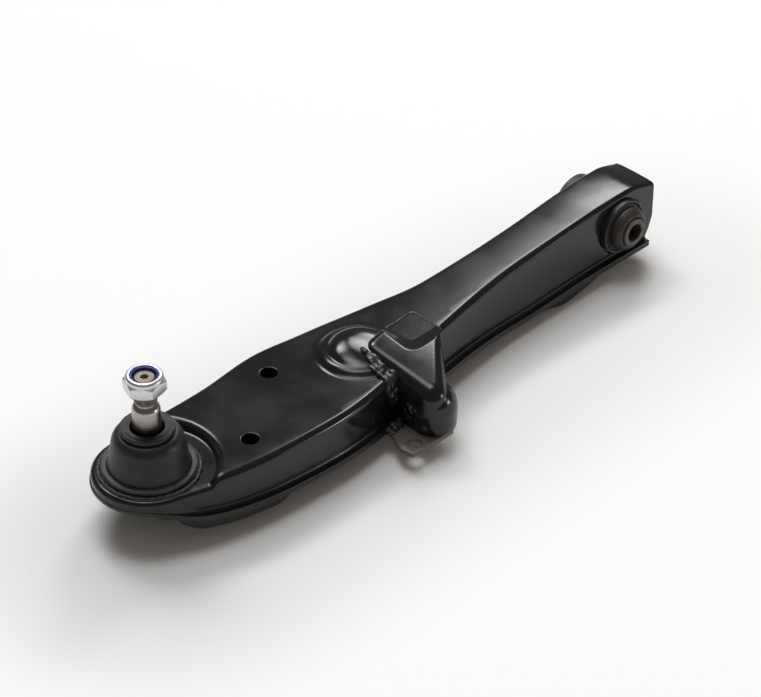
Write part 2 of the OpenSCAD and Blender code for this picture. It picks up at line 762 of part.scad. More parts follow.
// Ball stud: ball, neck, taper, thread and a small hexagon socket in its end
taper_rate = 0.05;
taper_r = taper_d / 2;
thread_r = thread_d / 2 - 0.1;
socket_af = 4.7;
function taper_at(z) = taper_r - taper_rate * (z - boot_top);
module ball_stud() {
    neck_r = 7.5;
    neck_z = ball_z + sqrt(ball_r^2 - neck_r^2);
    shank_z = ball_z + 18;
    end_r = thread_r - 0.9;
    color("#8f8a84") difference() {
        union() {
            ball_space(ball_r);
            about_stud() polygon([
                [0, ball_z], [neck_r, ball_z], [neck_r, neck_z + 1], [taper_at(shank_z) - 0.8, shank_z - 2],
                [taper_at(shank_z), shank_z], [taper_at(taper_top), taper_top],
                [thread_r, taper_top + 1.4], [thread_r, stud_top - 0.9], [end_r, stud_top], [0, stud_top]
            ]);
        }
        translate([arm_l, 0, stud_top - 5]) cylinder(d = socket_af / cos(30), h = 6, $fn = 6);
    }
}

// Dust boot: foot, bell-shaped body, shoulder, ring groove and lip
foot_r = clamp_d / 2 - 1.7;
foot_top = collar_top + 2.2;
boot_r = boot_d / 2;
ring_z = boot_top - 3.1;
ring_wire = 1.5;
ring_r = 14.3;
lip_r = 16;
lip_hole_r = taper_at(ring_z - 1.5) + 0.1;
module dust_boot() {
    z0 = collar_top + seat_gap;
    groove_r = ring_r - ring_wire / 2 - 0.15;
    room = ring_wire / 2 + 0.2;
    wall = 1.7;
    shoulder = ring_z - room;
    color("#2b2b2c") about_stud() polygon([
        [neck_out_r + 0.15, z0], [foot_r, z0], [foot_r, foot_top], [boot_r, foot_top],
        [boot_r - 0.5, foot_top + 3], [boot_r - 1.5, foot_top + 8.6], [boot_r - 2.7, foot_top + 15],
        [boot_r - 3.6, shoulder - 4], [boot_r - 4.7, shoulder - 2], [boot_r - 6.2, shoulder - 0.6],
        [boot_r - 7.6, shoulder], [groove_r, shoulder], [groove_r, ring_z + room],
        [lip_r - 0.4, ring_z + room], [lip_r, ring_z + room + 0.4], [lip_r, boot_top - 0.5],
        [lip_r - 0.5, boot_top], [lip_hole_r + 0.4, boot_top], [lip_hole_r, boot_top - 0.4],
        [lip_hole_r, ring_z - 1.5], [groove_r - 1.2, shoulder - wall], [boot_r - 8.2, shoulder - wall],
        [boot_r - 6.4, shoulder - wall - 1.4], [boot_r - 5.4, shoulder - wall - 2.9],
        [boot_r - 4.5, foot_top + 15], [boot_r - 3.3, foot_top + 8.6],
        [neck_out_r + 0.15, mouth_z + 0.1]
    ]);
}
module boot_clamp_ring() {
    z0 = collar_top + seat_gap;
    lip_t = 0.7;
    r = clamp_d / 2;
    color("#3a3a3c") about_stud() polygon([
        [foot_r + seat_gap, z0], [r - 0.3, z0], [r, z0 + 0.4], [r, foot_top + lip_t - 0.4],
        [r - 0.5, foot_top + lip_t + seat_gap], [boot_r + 0.2, foot_top + lip_t + seat_gap],
        [boot_r + 0.2, foot_top + seat_gap], [foot_r + seat_gap, foot_top + seat_gap]
    ]);
}
module boot_top_ring() {
    color("#38393b") about_stud() translate([ring_r, ring_z]) circle(d = ring_wire);
}

// Lock nut: hexagon with bevelled corners, round collar and a nylon ring inside the collar
insert_r = nut_af / 2 - 2.2;
insert_h = 2.6;
nut_turn = 7;
module lock_nut() {
    corner = nut_af / cos(30) / 2;
    bevel = 1;
    collar_r = nut_af / 2 - 0.2;
    top = nut_z + nut_hex_h + nut_collar_h;
    color("#c9ccd0") difference() {
        union() {
            intersection() {
                translate([arm_l, 0, nut_z]) rotate(nut_turn) cylinder(r = corner, h = nut_hex_h, $fn = 6);
                about_stud() polygon([
                    [0, nut_z], [corner - 1.5, nut_z], [corner + 0.1, nut_z + bevel],
                    [corner + 0.1, nut_z + nut_hex_h - bevel], [corner - 1.5, nut_z + nut_hex_h],
                    [0, nut_z + nut_hex_h]
                ]);
            }
            about_stud() polygon([
                [0, nut_z + nut_hex_h / 2], [collar_r, nut_z + nut_hex_h / 2], [collar_r, top - 1.4],
                [collar_r - 1.4, top], [0, top]
            ]);
        }
        about_stud() polygon([
            [0, nut_z - cut], [thread_r + 1, nut_z - cut], [thread_r + seat_gap, nut_z + 0.9],
            [thread_r + seat_gap, top - 0.6 - insert_h], [insert_r, top - 0.6 - insert_h],
            [insert_r, top - 0.6], [insert_r - 0.4, top + cut], [0, top + cut]
        ]);
    }
}
module nylon_insert() {
    top = nut_z + nut_hex_h + nut_collar_h - 0.65;
    color("#20357c") about_stud() polygon([
        [thread_r + seat_gap, top - insert_h + 0.1], [insert_r - seat_gap, top - insert_h + 0.1],
        [insert_r - seat_gap, top], [thread_r + 0.6, top], [thread_r + seat_gap, top - 0.5]
    ]);
}

upper_shell();
lower_plate();
strut_doubler();
bush_tube();
bush_outer_sleeve();
bush_rubber();
bush_inner_sleeve();
bracket_hood();
bracket_base_plate();
bracket_nut();
bracket_weld_side();
bracket_weld_pad();
bracket_weld_base();
ball_housing();
ball_seat();
lower_seat();
preload_washer();
housing_cap();
housing_weld();
ball_stud();
dust_boot();
boot_clamp_ring();
boot_top_ring();
lock_nut();
nylon_insert();
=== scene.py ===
import math

import bmesh
import bpy
import numpy as np
from bpy.props import FloatProperty, FloatVectorProperty, IntProperty, PointerProperty
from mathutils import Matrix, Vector
from mathutils.geometry import delaunay_2d_cdt


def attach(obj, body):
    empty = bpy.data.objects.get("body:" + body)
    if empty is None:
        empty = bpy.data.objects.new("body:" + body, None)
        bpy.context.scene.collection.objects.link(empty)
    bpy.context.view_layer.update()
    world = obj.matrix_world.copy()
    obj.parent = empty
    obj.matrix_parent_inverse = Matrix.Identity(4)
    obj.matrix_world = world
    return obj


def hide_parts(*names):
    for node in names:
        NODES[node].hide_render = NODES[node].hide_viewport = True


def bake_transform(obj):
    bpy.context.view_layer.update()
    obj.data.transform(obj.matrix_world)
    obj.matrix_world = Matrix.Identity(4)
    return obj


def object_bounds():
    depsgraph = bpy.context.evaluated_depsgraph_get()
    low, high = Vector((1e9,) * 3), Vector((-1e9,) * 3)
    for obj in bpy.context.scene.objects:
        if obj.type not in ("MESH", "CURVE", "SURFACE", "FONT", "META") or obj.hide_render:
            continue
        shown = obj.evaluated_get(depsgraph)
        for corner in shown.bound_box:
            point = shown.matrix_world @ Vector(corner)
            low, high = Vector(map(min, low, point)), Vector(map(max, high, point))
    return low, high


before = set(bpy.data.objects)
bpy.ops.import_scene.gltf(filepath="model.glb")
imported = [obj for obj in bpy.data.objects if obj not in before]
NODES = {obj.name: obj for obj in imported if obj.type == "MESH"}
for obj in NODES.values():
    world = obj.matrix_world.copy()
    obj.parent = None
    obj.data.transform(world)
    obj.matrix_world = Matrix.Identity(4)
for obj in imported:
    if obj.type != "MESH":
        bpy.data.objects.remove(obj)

bl_info = {
    "name": "Pressed control arm",
    "version": (1, 0, 0),
    "blender": (4, 5, 0),
    "location": "View3D > Sidebar > Arm",
    "description": "Dresses a pressed lower control arm: shells, bush, bracket, welds and ball joint",
    "category": "Object",
}

CAD_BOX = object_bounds()
MM = 0.001
MERGE = 0.004

# Sizes of the arm in millimetres, as in the part's source
ARM_L = 380.0
TIP_R = 33.5
TIP_C = np.array([ARM_L, -0.8])
END_L = 31.8
SHEET_T = 2.0
OUTER_TOP = 8.0
SEAT_Z = 3.0
TUBE_R = 19.75
INNER_TOP = TUBE_R + 1.4 + SHEET_T
JOINT_Z = -(TUBE_R + 3.85)
STRUTS = [(274.5, -14.6), (324.7, 24.8)]
STRUT_R = 5.2
BOSS = np.array([220.5, 8.7])
HOUSING_R = 25.0
BEND_X = ARM_L - 130
FRONT_ARC = 72.0

REAR = [(-END_L, 17), (100, 14.6), (145, 15.4), (190, 23.3), (233, 31.6), (270, 36.2),
        (316, 31.6), (340, 31), (380, 34.3)]
FRONT = [(-END_L, 17), (40, 17.8), (100, 19.5), (168, 27.8), (230, 42.1), (278, 47.5),
         (318, 46.3), (345, 43.2),
         (ARM_L + TIP_R * math.cos(math.radians(FRONT_ARC)),
          TIP_C[1] + TIP_R * math.sin(math.radians(FRONT_ARC)))]
TOP = [(-END_L, INNER_TOP - 5), (-END_L + 22, INNER_TOP), (20, INNER_TOP - 0.8),
       (70, INNER_TOP - 4.9), (BEND_X - 45, OUTER_TOP + 1.6), (BEND_X, OUTER_TOP),
       (ARM_L + TIP_R, OUTER_TOP)]
JOINT = [(-END_L, JOINT_Z), (25, JOINT_Z), (85, JOINT_Z - 1.7), (150, JOINT_Z + 1.3),
         (245, JOINT_Z + 2.2), (305, JOINT_Z + 3.5), (336, JOINT_Z + 5.2),
         (355, JOINT_Z + 6.7), (372, JOINT_Z + 9), (384, SEAT_Z - 14.5),
         (393, SEAT_Z - 11), (402, SEAT_Z - 8.6), (ARM_L + TIP_R, SEAT_Z - 8)]
FLANGE = [(-END_L, 4.5), (370, 4.5), (394, 0.8), (ARM_L + TIP_R, 0.6)]
EDGE = [(-END_L, 2.8), (20, 3.2), (100, 4.6), (200, 4.2), (350, 4.2), (374, 3), (ARM_L + TIP_R, 3)]
PAN = [(-END_L, 0.6), (5, 0.6), (32, 7), (51, 9), (67, 6.6), (372, 7.6), (382, 5.1),
       (389, 0.6), (396, 0.6)]
PAN_IN = [(-END_L, 1.5), (51, 1.5), (80, 5.5), (100, 7), (305, 6.5), (324, 2), (370, 1.5), (396, 1.5)]
PLATE_END = ARM_L + 16
END_CUT = [(JOINT_Z - 4, 7), (JOINT_Z + 2, 7), (JOINT_Z + 5, 5), (JOINT_Z + 11, 2.4),
           (JOINT_Z + 18, 0.5), (INNER_TOP + 2, 0.5)]
# Pressed round boss in two steps: distance from the centre, height above the sheet
BOSS_FOOT = [(0, 2.4), (20.6, 2.4), (22.2, 2.2), (25.4, 0.75), (26.8, 0.2), (28.2, 0)]
BOSS_DOME = [(0, 4.2), (8, 3.85), (14, 3.0), (17.2, 2.05), (19.6, 0.8), (20.8, 0.15), (21.8, 0)]
FOOT_SHIFT = np.array([1.6, -0.6])
DOME_TILT = np.array([0.03, -0.15])
# Step round the ball joint's seat: distance from the stud, share of the rise
STEP = [(37.6, 0), (38.2, 0.03), (38.7, 0.15), (39.1, 0.33), (39.5, 0.5), (40.0, 0.66), (40.6, 0.79),
        (41.4, 0.9), (42.4, 0.97), (43.4, 0.995), (44.2, 1)]
# Fall of the pressed top 20 mm from its middle line
CROWN = [(-END_L, 0.75), (60, 0.6), (120, 0.3), (190, 0), (ARM_L + TIP_R + 20, 0)]


def curve(table, x):
    """Smooth curve through a table of places and values, with no overshoot."""
    xs, ys = np.array(table, float).T
    rate = np.diff(ys) / np.diff(xs)
    a, b = rate[:-1], rate[1:]
    same = a * b > 0
    inner = np.where(same, 2 * a * b / np.where(same, a + b, 1), 0)
    slope = np.concatenate([rate[:1], inner, rate[-1:]])
    x = np.asarray(x, float)
    i = np.clip(np.searchsorted(xs, x, side="right") - 1, 0, len(xs) - 2)
    h = xs[i + 1] - xs[i]
    u = (x - xs[i]) / h
    return ((2 * u**3 - 3 * u**2 + 1) * ys[i] + (u**3 - 2 * u**2 + u) * h * slope[i]
            + (3 * u**2 - 2 * u**3) * ys[i + 1] + (u**3 - u**2) * h * slope[i + 1])


def smooth_step(u):
    u = np.clip(u, 0, 1)
    return u * u * (3 - 2 * u)


def polar(centre, radius, degrees):
    a = np.radians(degrees)
    return np.stack([centre[0] + radius * np.cos(a), centre[1] + radius * np.sin(a)], -1)


# Mesh helpers


def link(obj):
    bpy.context.scene.collection.objects.link(obj)
    return obj


def settle(mesh, angle=35):
    """Smooth shading with sharp edges kept past an angle."""
    mesh.polygons.foreach_set("use_smooth", np.ones(len(mesh.polygons), bool))
    mesh.set_sharp_from_angle(angle=math.radians(angle))
    mesh.update()


def weld_mesh(mesh):
    """Merges doubles, drops faces of no size and points the faces outwards."""
    bm = bmesh.new()
    bm.from_mesh(mesh)
    bmesh.ops.remove_doubles(bm, verts=bm.verts, dist=MERGE * MM)
    bmesh.ops.dissolve_degenerate(bm, edges=bm.edges, dist=MERGE * MM / 4)
    bmesh.ops.recalc_face_normals(bm, faces=bm.faces)
    bm.to_mesh(mesh)
    bm.free()


def make(name, points, faces, angle=35):
    """A piece from points in millimetres and faces, with its place in its mesh."""
    mesh = bpy.data.meshes.new(name)
    mesh.from_pydata((np.asarray(points, float) * MM).tolist(), [], [list(map(int, f)) for f in faces])
    weld_mesh(mesh)
    settle(mesh, angle)
    return link(bpy.data.objects.new(name, mesh))


def quads(rows, cols, wrap):
    """Faces of a grid of points, row after row."""
    i, j = np.meshgrid(np.arange(rows - 1), np.arange(cols if wrap else cols - 1), indexing="ij")
    a = i * cols + j
    b = i * cols + (j + 1) % cols
    return np.stack([a, b, b + cols, a + cols], -1).reshape(-1, 4)


def closed_quads(rows, cols):
    """Faces of a grid whose last row joins its first."""
    last = quads(2, cols, True)
    last = np.where(last >= cols, last - cols, last + (rows - 1) * cols)
    return np.concatenate([quads(rows, cols, True), last])


def full_turn(segments):
    return np.linspace(0, 2 * math.pi, segments, endpoint=False)


def freeze(obj):
    """Turns an object's modifiers into plain mesh."""
    dg = bpy.context.evaluated_depsgraph_get()
    mesh = bpy.data.meshes.new_from_object(obj.evaluated_get(dg))
    old = obj.data
    obj.modifiers.clear()
    obj.data = mesh
    bpy.data.meshes.remove(old)
    mesh.name = obj.name
    return obj


def carve(obj, *tools, operation="DIFFERENCE"):
    """Cuts tools out of a piece and removes them."""
    for tool in tools:
        mod = obj.modifiers.new("cut", "BOOLEAN")
        mod.operation = operation
        mod.solver = "EXACT"
        mod.object = tool
    freeze(obj)
    for tool in tools:
        data = tool.data
        bpy.data.objects.remove(tool)
        bpy.data.meshes.remove(data)
    if not obj.data.polygons:
        raise RuntimeError("nothing left of " + obj.name)
    return obj


def bevel_edges(obj, width, segments, angle):
    """Rounds a piece's edges past an angle."""
    mod = obj.modifiers.new("edge", "BEVEL")
    mod.width = width * MM
    mod.segments = segments
    mod.limit_method = "ANGLE"
    mod.angle_limit = math.radians(angle)
    return freeze(obj)


def melt(obj, voxel, passes, angle=40):
    """Fuses a piece's solids into one skin and rounds its creases."""
    mod = obj.modifiers.new("skin", "REMESH")
    mod.mode = "VOXEL"
    mod.voxel_size = voxel * MM
    soft = obj.modifiers.new("soft", "SMOOTH")
    soft.factor = 0.5
    soft.iterations = passes
    freeze(obj)
    settle(obj.data, angle)
    return obj


def soften(profile, radius, steps=4):
    """Rounds the corners of a closed profile."""
    pts = np.asarray(profile, float)
    out = []
    u = np.linspace(0, 1, steps + 1)[:, None]
    for i, p in enumerate(pts):
        a, b = pts[i - 1] - p, pts[(i + 1) % len(pts)] - p
        la, lb = np.linalg.norm(a), np.linalg.norm(b)
        t = min(radius, 0.45 * la, 0.45 * lb)
        q0, q1 = p + a / la * t, p + b / lb * t
        out.append((1 - u) ** 2 * q0 + 2 * u * (1 - u) * p + u**2 * q1)
    return np.concatenate(out)


def about_stud(r, a, z):
    return np.stack([ARM_L + r * np.cos(a), r * np.sin(a), z + 0 * r], -1)


def about_bush(r, a, z):
    return np.stack([r * np.sin(a), z + 0 * r, r * np.cos(a)], -1)


def turned(name, profile, place=about_stud, segments=128, angle=35):
    """A closed profile of radii and heights turned about an axis."""
    profile = np.asarray(profile, float)
    a = full_turn(segments)
    rings = np.concatenate([place(np.full(segments, r), a, z) for r, z in profile])
    return make(name, rings, closed_quads(len(profile), segments), angle)


def rod(name, at, axis, radius, length, segments=96):
    """A plain cutting rod, centred on a point."""
    axis = np.asarray(axis, float)
    side = np.cross(axis, [0.3, 0.5, 0.8])
    side /= np.linalg.norm(side)
    up = np.cross(axis, side)
    a = full_turn(segments)
    ring = radius * (np.cos(a)[:, None] * side + np.sin(a)[:, None] * up)
    at = np.asarray(at, float)
    pts = np.concatenate([at + ring - axis * length / 2, at + ring + axis * length / 2])
    faces = [list(f) for f in quads(2, segments, True)]
    faces += [list(range(segments)), list(range(segments, 2 * segments))]
    return make(name, pts, faces)


def loft(name, rings):
    """A closed solid through rings of points."""
    n, m = len(rings), len(rings[0])
    faces = [tuple(f) for f in quads(n, m, True)]
    faces += [tuple(range(m)), tuple((n - 1) * m + k for k in range(m))]
    return make(name, np.concatenate(rings), faces)


def spun(name, profile, centre, segments=180):
    """A solid of radii and heights about an upright axis, capped at both ends."""
    turn = np.arange(segments) * 360 / segments
    return loft(name, [np.column_stack([polar(centre, r, turn), np.full(segments, z)]) for r, z in profile])


def dress(obj, body, finish, stands_for):
    """Gives a piece its finish and its body, and hides the CAD node that it stands for."""
    obj.data.materials.clear()
    obj.data.materials.append(finish)
    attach(obj, body)
    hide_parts(stands_for)


# Finishes


class Socket:
    """A value in a material. Sums on it add Math nodes."""

    def __init__(self, tree, socket):
        self.tree, self.socket = tree, socket

    def _math(self, operation, a, b):
        return add_node(self.tree, "ShaderNodeMath", {"operation": operation}, 0, {0: a, 1: b})

    def __add__(self, other):
        return self._math("ADD", self, other)

    def __sub__(self, other):
        return self._math("SUBTRACT", self, other)

    def __rsub__(self, other):
        return self._math("SUBTRACT", other, self)

    def __mul__(self, other):
        return self._math("MULTIPLY", self, other)

    def __pow__(self, other):
        return self._math("POWER", self, other)

    def at_least(self, other):
        return self._math("MAXIMUM", self, other)

    def at_most(self, other):
        return self._math("MINIMUM", self, other)

    __radd__ = __add__
    __rmul__ = __mul__


def feed(tree, entry, value):
    """Links or sets one input."""
    if isinstance(value, Socket):
        tree.links.new(value.socket, entry)
    elif value is not None:
        entry.default_value = value


def add_node(tree, kind, settings=(), output=0, inputs=(), **named):
    """Adds a node: its settings first, then the values or links of its sockets."""
    made = tree.nodes.new(kind)
    for key, value in dict(settings).items():
        setattr(made, key, value)
    for key, value in {**dict(inputs), **named}.items():
        feed(tree, made.inputs[key], value)
    return Socket(tree, made.outputs[output])


FINISHES = {}


class Finish:
    """A material under construction, on the piece's own place in the frame."""

    def __init__(self, name):
        self.material = FINISHES[name] = bpy.data.materials.new("finish_" + name)
        self.material.use_nodes = True
        self.tree = self.material.node_tree
        self.shader = self.tree.nodes["Principled BSDF"]
        self.place = self.node("TexCoord", output="Object")

    def node(self, kind, settings=(), output=0, inputs=(), **named):
        return add_node(self.tree, "ShaderNode" + kind, settings, output, inputs, **named)

    def noise(self, scale, detail=2.0, roughness=0.5, place=None):
        return self.node("TexNoise", Vector=place or self.place, Scale=scale, Detail=detail,
                         Roughness=roughness)

    def stretch(self, scale):
        return self.node("Mapping", Vector=self.place, Scale=scale)

    def mix(self, share, a, b):
        """Mixes two colours by a share."""
        return self.node("Mix", {"data_type": "RGBA"}, 2, {0: share, 6: a, 7: b})

    def span(self, value, low, high, to_low=0.0, to_high=1.0):
        """Carries a value smoothly from one range to another."""
        return self.node("MapRange", {"interpolation_type": "SMOOTHSTEP"},
                         inputs=enumerate((value, low, high, to_low, to_high)))

    def part(self, axis):
        return self.node("SeparateXYZ", output=axis, Vector=self.place)

    def bump(self, height, distance, strength=1.0, normal=None):
        return self.node("Bump", Height=height, Distance=distance, Strength=strength, Normal=normal)

    def cover(self, share, shader):
        """Shows another shader over the material's own by a share."""
        own = Socket(self.tree, self.shader.outputs[0])
        both = self.node("MixShader", inputs={0: share, 1: own, 2: shader})
        feed(self.tree, self.tree.nodes["Material Output"].inputs["Surface"], both)

    def set(self, **inputs):
        for key, value in inputs.items():
            feed(self.tree, self.shader.inputs[key.replace("_", " ")], value)
        return self.material


def rgba(colour, gains=(1, 1, 1)):
    return tuple(min(1.0, c * gain) for c, gain in zip(colour, gains)) + (1.0,)


def paint_finish(name, colour, rough, peel):
    """Black dip paint: faint orange peel, soft drifts of gloss, a trace of dust."""
    f = Finish(name)
    drift = f.noise(28, 3.0, 0.6)
    fine = f.noise(900, 2.0)
    broad = f.noise(9, 2.0)
    dust = f.span(f.noise(160, 4.0, 0.7), 0.56, 0.8)
    tint = f.mix(f.span(broad, 0.35, 0.7), rgba(colour), rgba(colour, (1.25, 1.12, 1)))
    base = f.mix(dust * 0.25, tint, rgba((0.05, 0.045, 0.04)))
    ripple = f.bump(f.noise(320, 2.0), peel * MM, 0.35)
    gloss = f.span(drift, 0.3, 0.7, rough - 0.04, rough + 0.05) + fine * 0.03
    return f.set(Base_Color=base, Roughness=gloss,
                 Normal=f.bump(fine, peel * MM * 0.5, 0.25, ripple), Specular_IOR_Level=0.42)


def weld_finish(name, colour, rough):
    """Painted weld: glossy with fine scale and spatter pits."""
    f = Finish(name)
    scale = f.noise(700, 3.0, 0.6)
    ridge = f.noise(220, 2.0)
    base = f.mix(f.span(ridge, 0.45, 0.75), rgba(colour), rgba((0.05, 0.042, 0.036)))
    return f.set(Base_Color=base, Roughness=f.span(scale, 0.3, 0.7, rough, rough * 2),
                 Normal=f.bump(scale, 0.1 * MM, 0.4), Specular_IOR_Level=0.5)


def rubber_finish(name, colour, rough, grain):
    """Moulded rubber: bloom, fine grain and a soft sheen."""
    f = Finish(name)
    bloom = f.span(f.noise(45, 4.0, 0.6), 0.4, 0.72)
    speck = f.noise(1500, 2.0)
    warm = (colour[0] * 1.7 + 0.006, colour[1] * 1.5 + 0.004, colour[2] * 1.35 + 0.002)
    base = f.mix(bloom * 0.6, rgba(colour), rgba(warm))
    return f.set(Base_Color=base, Roughness=f.span(speck, 0.3, 0.7, rough - 0.05, rough + 0.06),
                 Normal=f.bump(speck, grain * MM, 0.4), Specular_IOR_Level=0.35)


def dark_steel_finish(name, colour, rough):
    """Blackened steel with a worn, slightly brown cast."""
    f = Finish(name)
    cast = f.noise(120, 4.0, 0.65)
    fine = f.noise(1200, 2.0)
    base = f.mix(f.span(cast, 0.42, 0.7), rgba(colour), rgba(colour, (1.9, 1.7, 1.5)))
    return f.set(Base_Color=base, Metallic=0.35,
                 Roughness=f.span(cast, 0.3, 0.7, rough - 0.06, rough + 0.08),
                 Normal=f.bump(fine, 0.05 * MM, 0.4))


# Heights on the stud in metres: where its end begins, and where the painted dark reflection near the boot
# fades out
STUD_END = (0.0672, 0.0676)
DARK_REFLECTION_FADE = (0.037, 0.0455)
# Colour of the painted dark reflection on the stud near the boot
DARK_REFLECTION = (0.12, 0.106, 0.095)


def turned_steel_finish(name, colour, tint, z_low, z_high):
    """Turned bare steel: rings from the lathe, a brown tint between two heights and at the
    stud's end, and a painted dark reflection, darker towards the boot where the stud leaves it."""
    f = Finish(name)
    rings = f.noise(1.0, 2.0, 0.5, f.stretch((60, 60, 5200)))
    blotch = f.noise(260, 3.0, 0.6)
    z = f.part("Z")
    band = f.span(z, z_low - 0.002, z_low) * f.span(z, z_high, z_high + 0.002, 1.0, 0.0)
    end = f.span(z, *STUD_END)
    stain = band * f.span(blotch, 0.35, 0.7) + end * f.span(blotch, 0.3, 0.7, 0.8, 1.0)
    # Painted dark reflection: the steel is unevenly darker towards the boot
    painted_reflection = f.span(z, *DARK_REFLECTION_FADE, 0.95, 0.0) * f.span(blotch, 0.25, 0.6, 0.75, 1.0)
    base = f.mix(painted_reflection, f.mix(stain, rgba(colour), rgba(tint)), rgba(DARK_REFLECTION))
    gloss = f.span(rings, 0.3, 0.7, 0.22, 0.34) + stain * 0.1 + end * 0.18
    return f.set(Base_Color=base, Metallic=1.0, Roughness=gloss,
                 Normal=f.bump(rings, 0.03 * MM, 0.35))


def thread_finish(name, bright, dull):
    """Cut thread behind a hole: painted glints in random patches on a dark base that paints the bore's shade.
    """
    f = Finish(name)
    # Random patches of painted glint; the rest stays dark as painted shade inside the bore
    glint_share = f.span(f.noise(330, 3.0, 0.6), 0.5, 0.62)
    return f.set(Base_Color=f.mix(glint_share, rgba(dull), rgba(bright)), Metallic=0.9,
                 Roughness=f.span(glint_share, 0, 1, 0.5, 0.22))


def zinc_finish(name, colour):
    """Zinc plate: bright, faintly mottled, a trace of straw."""
    f = Finish(name)
    mottle = f.noise(340, 3.0, 0.6)
    fine = f.noise(2200, 2.0)
    base = f.mix(f.span(mottle, 0.4, 0.7), rgba(colour), rgba(colour, (0.96, 0.94, 0.9)))
    return f.set(Base_Color=base, Metallic=1.0, Roughness=f.span(mottle, 0.3, 0.7, 0.34, 0.42),
                 Normal=f.bump(fine, 0.006 * MM, 0.3))


def plastic_finish(name, colour, rough):
    """Moulded plastic with faint flow marks."""
    f = Finish(name)
    flow = f.noise(420, 3.0, 0.6)
    base = f.mix(f.span(flow, 0.35, 0.7) * 0.35, rgba(colour), rgba(colour, (0.7, 0.7, 0.7)))
    return f.set(Base_Color=base, Roughness=f.span(flow, 0.3, 0.7, rough - 0.05, rough + 0.08),
                 Normal=f.bump(flow, 0.04 * MM, 0.3))


def finishes():
    """Every finish, made once."""
    if "arm_paint" in FINISHES:
        return FINISHES
    look = bpy.context.scene.arm_look
    paint_finish("arm_paint", look.paint, look.paint_rough, 0.06)
    paint_finish("inner_paint", look.paint, look.paint_rough + 0.12, 0.08)
    weld_finish("weld", (0.012, 0.0115, 0.011), 0.18)
    weld_finish("dull_weld", (0.014, 0.0135, 0.013), 0.32)
    rubber_finish("boot_rubber", look.boot, 0.43, 0.05)
    rubber_finish("bush_rubber", (0.02, 0.0195, 0.019), 0.46, 0.05)
    dark_steel_finish("dark_steel", (0.03, 0.029, 0.028), 0.42)
    dark_steel_finish("ring_steel", (0.045, 0.0455, 0.047), 0.38)
    dark_steel_finish("sleeve_steel", (0.06, 0.057, 0.054), 0.44)
    turned_steel_finish("bare_steel", (0.38, 0.363, 0.342), (0.26, 0.225, 0.195), 0.05, 0.06)
    # Thread behind the bracket's side hole, with painted glints and painted shade
    thread_finish("thread_painted_glints", (0.95, 0.84, 0.66), (0.06, 0.05, 0.04))
    # The bracket's base plate gets a lighter colour than the arm's paint: a painted sheen for the light its
    # black paint reflects
    paint_finish("plate_sheen_paint", (0.1, 0.091, 0.083), 0.34, 0.08)
    zinc_finish("plated_steel", look.zinc)
    plastic_finish("nylon", look.nylon, 0.34)
    plastic_finish("seat_plastic", (0.78, 0.75, 0.66), 0.4)
    return FINISHES


# Settings


def colour_setting(name, text, default):
    return FloatVectorProperty(name=name, description=text, subtype="COLOR", size=3, default=default,
                               min=0, max=1)


def length_setting(name, text, default, low, high):
    return FloatProperty(name=name, description=text, unit="LENGTH", default=default, min=low, max=high)


class ArmLook(bpy.types.PropertyGroup):
    """Colours and gloss of the arm"""

    paint: colour_setting("Paint", "Colour of the dip paint", (0.009, 0.009, 0.0096))
    paint_rough: FloatProperty(name="Paint roughness", description="Roughness of the dip paint",
                               subtype="FACTOR", default=0.15, min=0.05, max=0.9)
    boot: colour_setting("Boot", "Colour of the dust boot", (0.018, 0.0178, 0.018))
    zinc: colour_setting("Nut", "Colour of the nut's plating", (0.68, 0.69, 0.7))
    nylon: colour_setting("Nylon", "Colour of the nut's locking ring", (0.022, 0.032, 0.25))


class ArmDetail(bpy.types.PropertyGroup):
    """Fineness and small sizes"""

    drop: length_setting("Weld drop", "Mean radius of a weld's ripples", 0.0021, 0.001, 0.004)
    spacing: length_setting("Weld spacing", "Distance between a weld's ripples", 0.0009, 0.0005, 0.006)
    seed: IntProperty(name="Seed", description="Seed of the weld's unevenness", default=7, min=0, max=99)
    pitch: length_setting("Thread pitch", "Pitch of the stud's thread", 0.0015, 0.001, 0.002)
    floor: length_setting("Floor", "Width of the floor", 9.0, 2, 20)


# Arm


def lid_height(x, y):
    """Height of the arm's top at a place, with the boss and the ball joint's seat."""
    base = curve(TOP, x)
    dx, dy = x - BOSS[0], y - BOSS[1]
    foot = curve(BOSS_FOOT, np.minimum(np.hypot(dx - FOOT_SHIFT[0], dy - FOOT_SHIFT[1]), BOSS_FOOT[-1][0]))
    dome = curve(BOSS_DOME, np.minimum(np.hypot(dx, dy), BOSS_DOME[-1][0]))
    tilt = DOME_TILT[0] * dx + DOME_TILT[1] * dy
    rise = foot + dome * (1 + tilt / BOSS_DOME[0][1])
    share = np.clip(rise / BOSS_FOOT[0][1], 0, 1)
    middle = (curve(FRONT, np.minimum(x, FRONT[-1][0])) - curve(REAR, np.minimum(x, ARM_L))) / 2
    crown = curve(CROWN, x) * ((y - middle) / 20) ** 2
    z = base - crown + rise + share * (curve(TOP, BOSS[0]) - base)
    up = curve(STEP, np.clip(np.hypot(x - ARM_L, y), STEP[0][0], STEP[-1][0]))
    return SEAT_Z + (z - SEAT_Z) * up


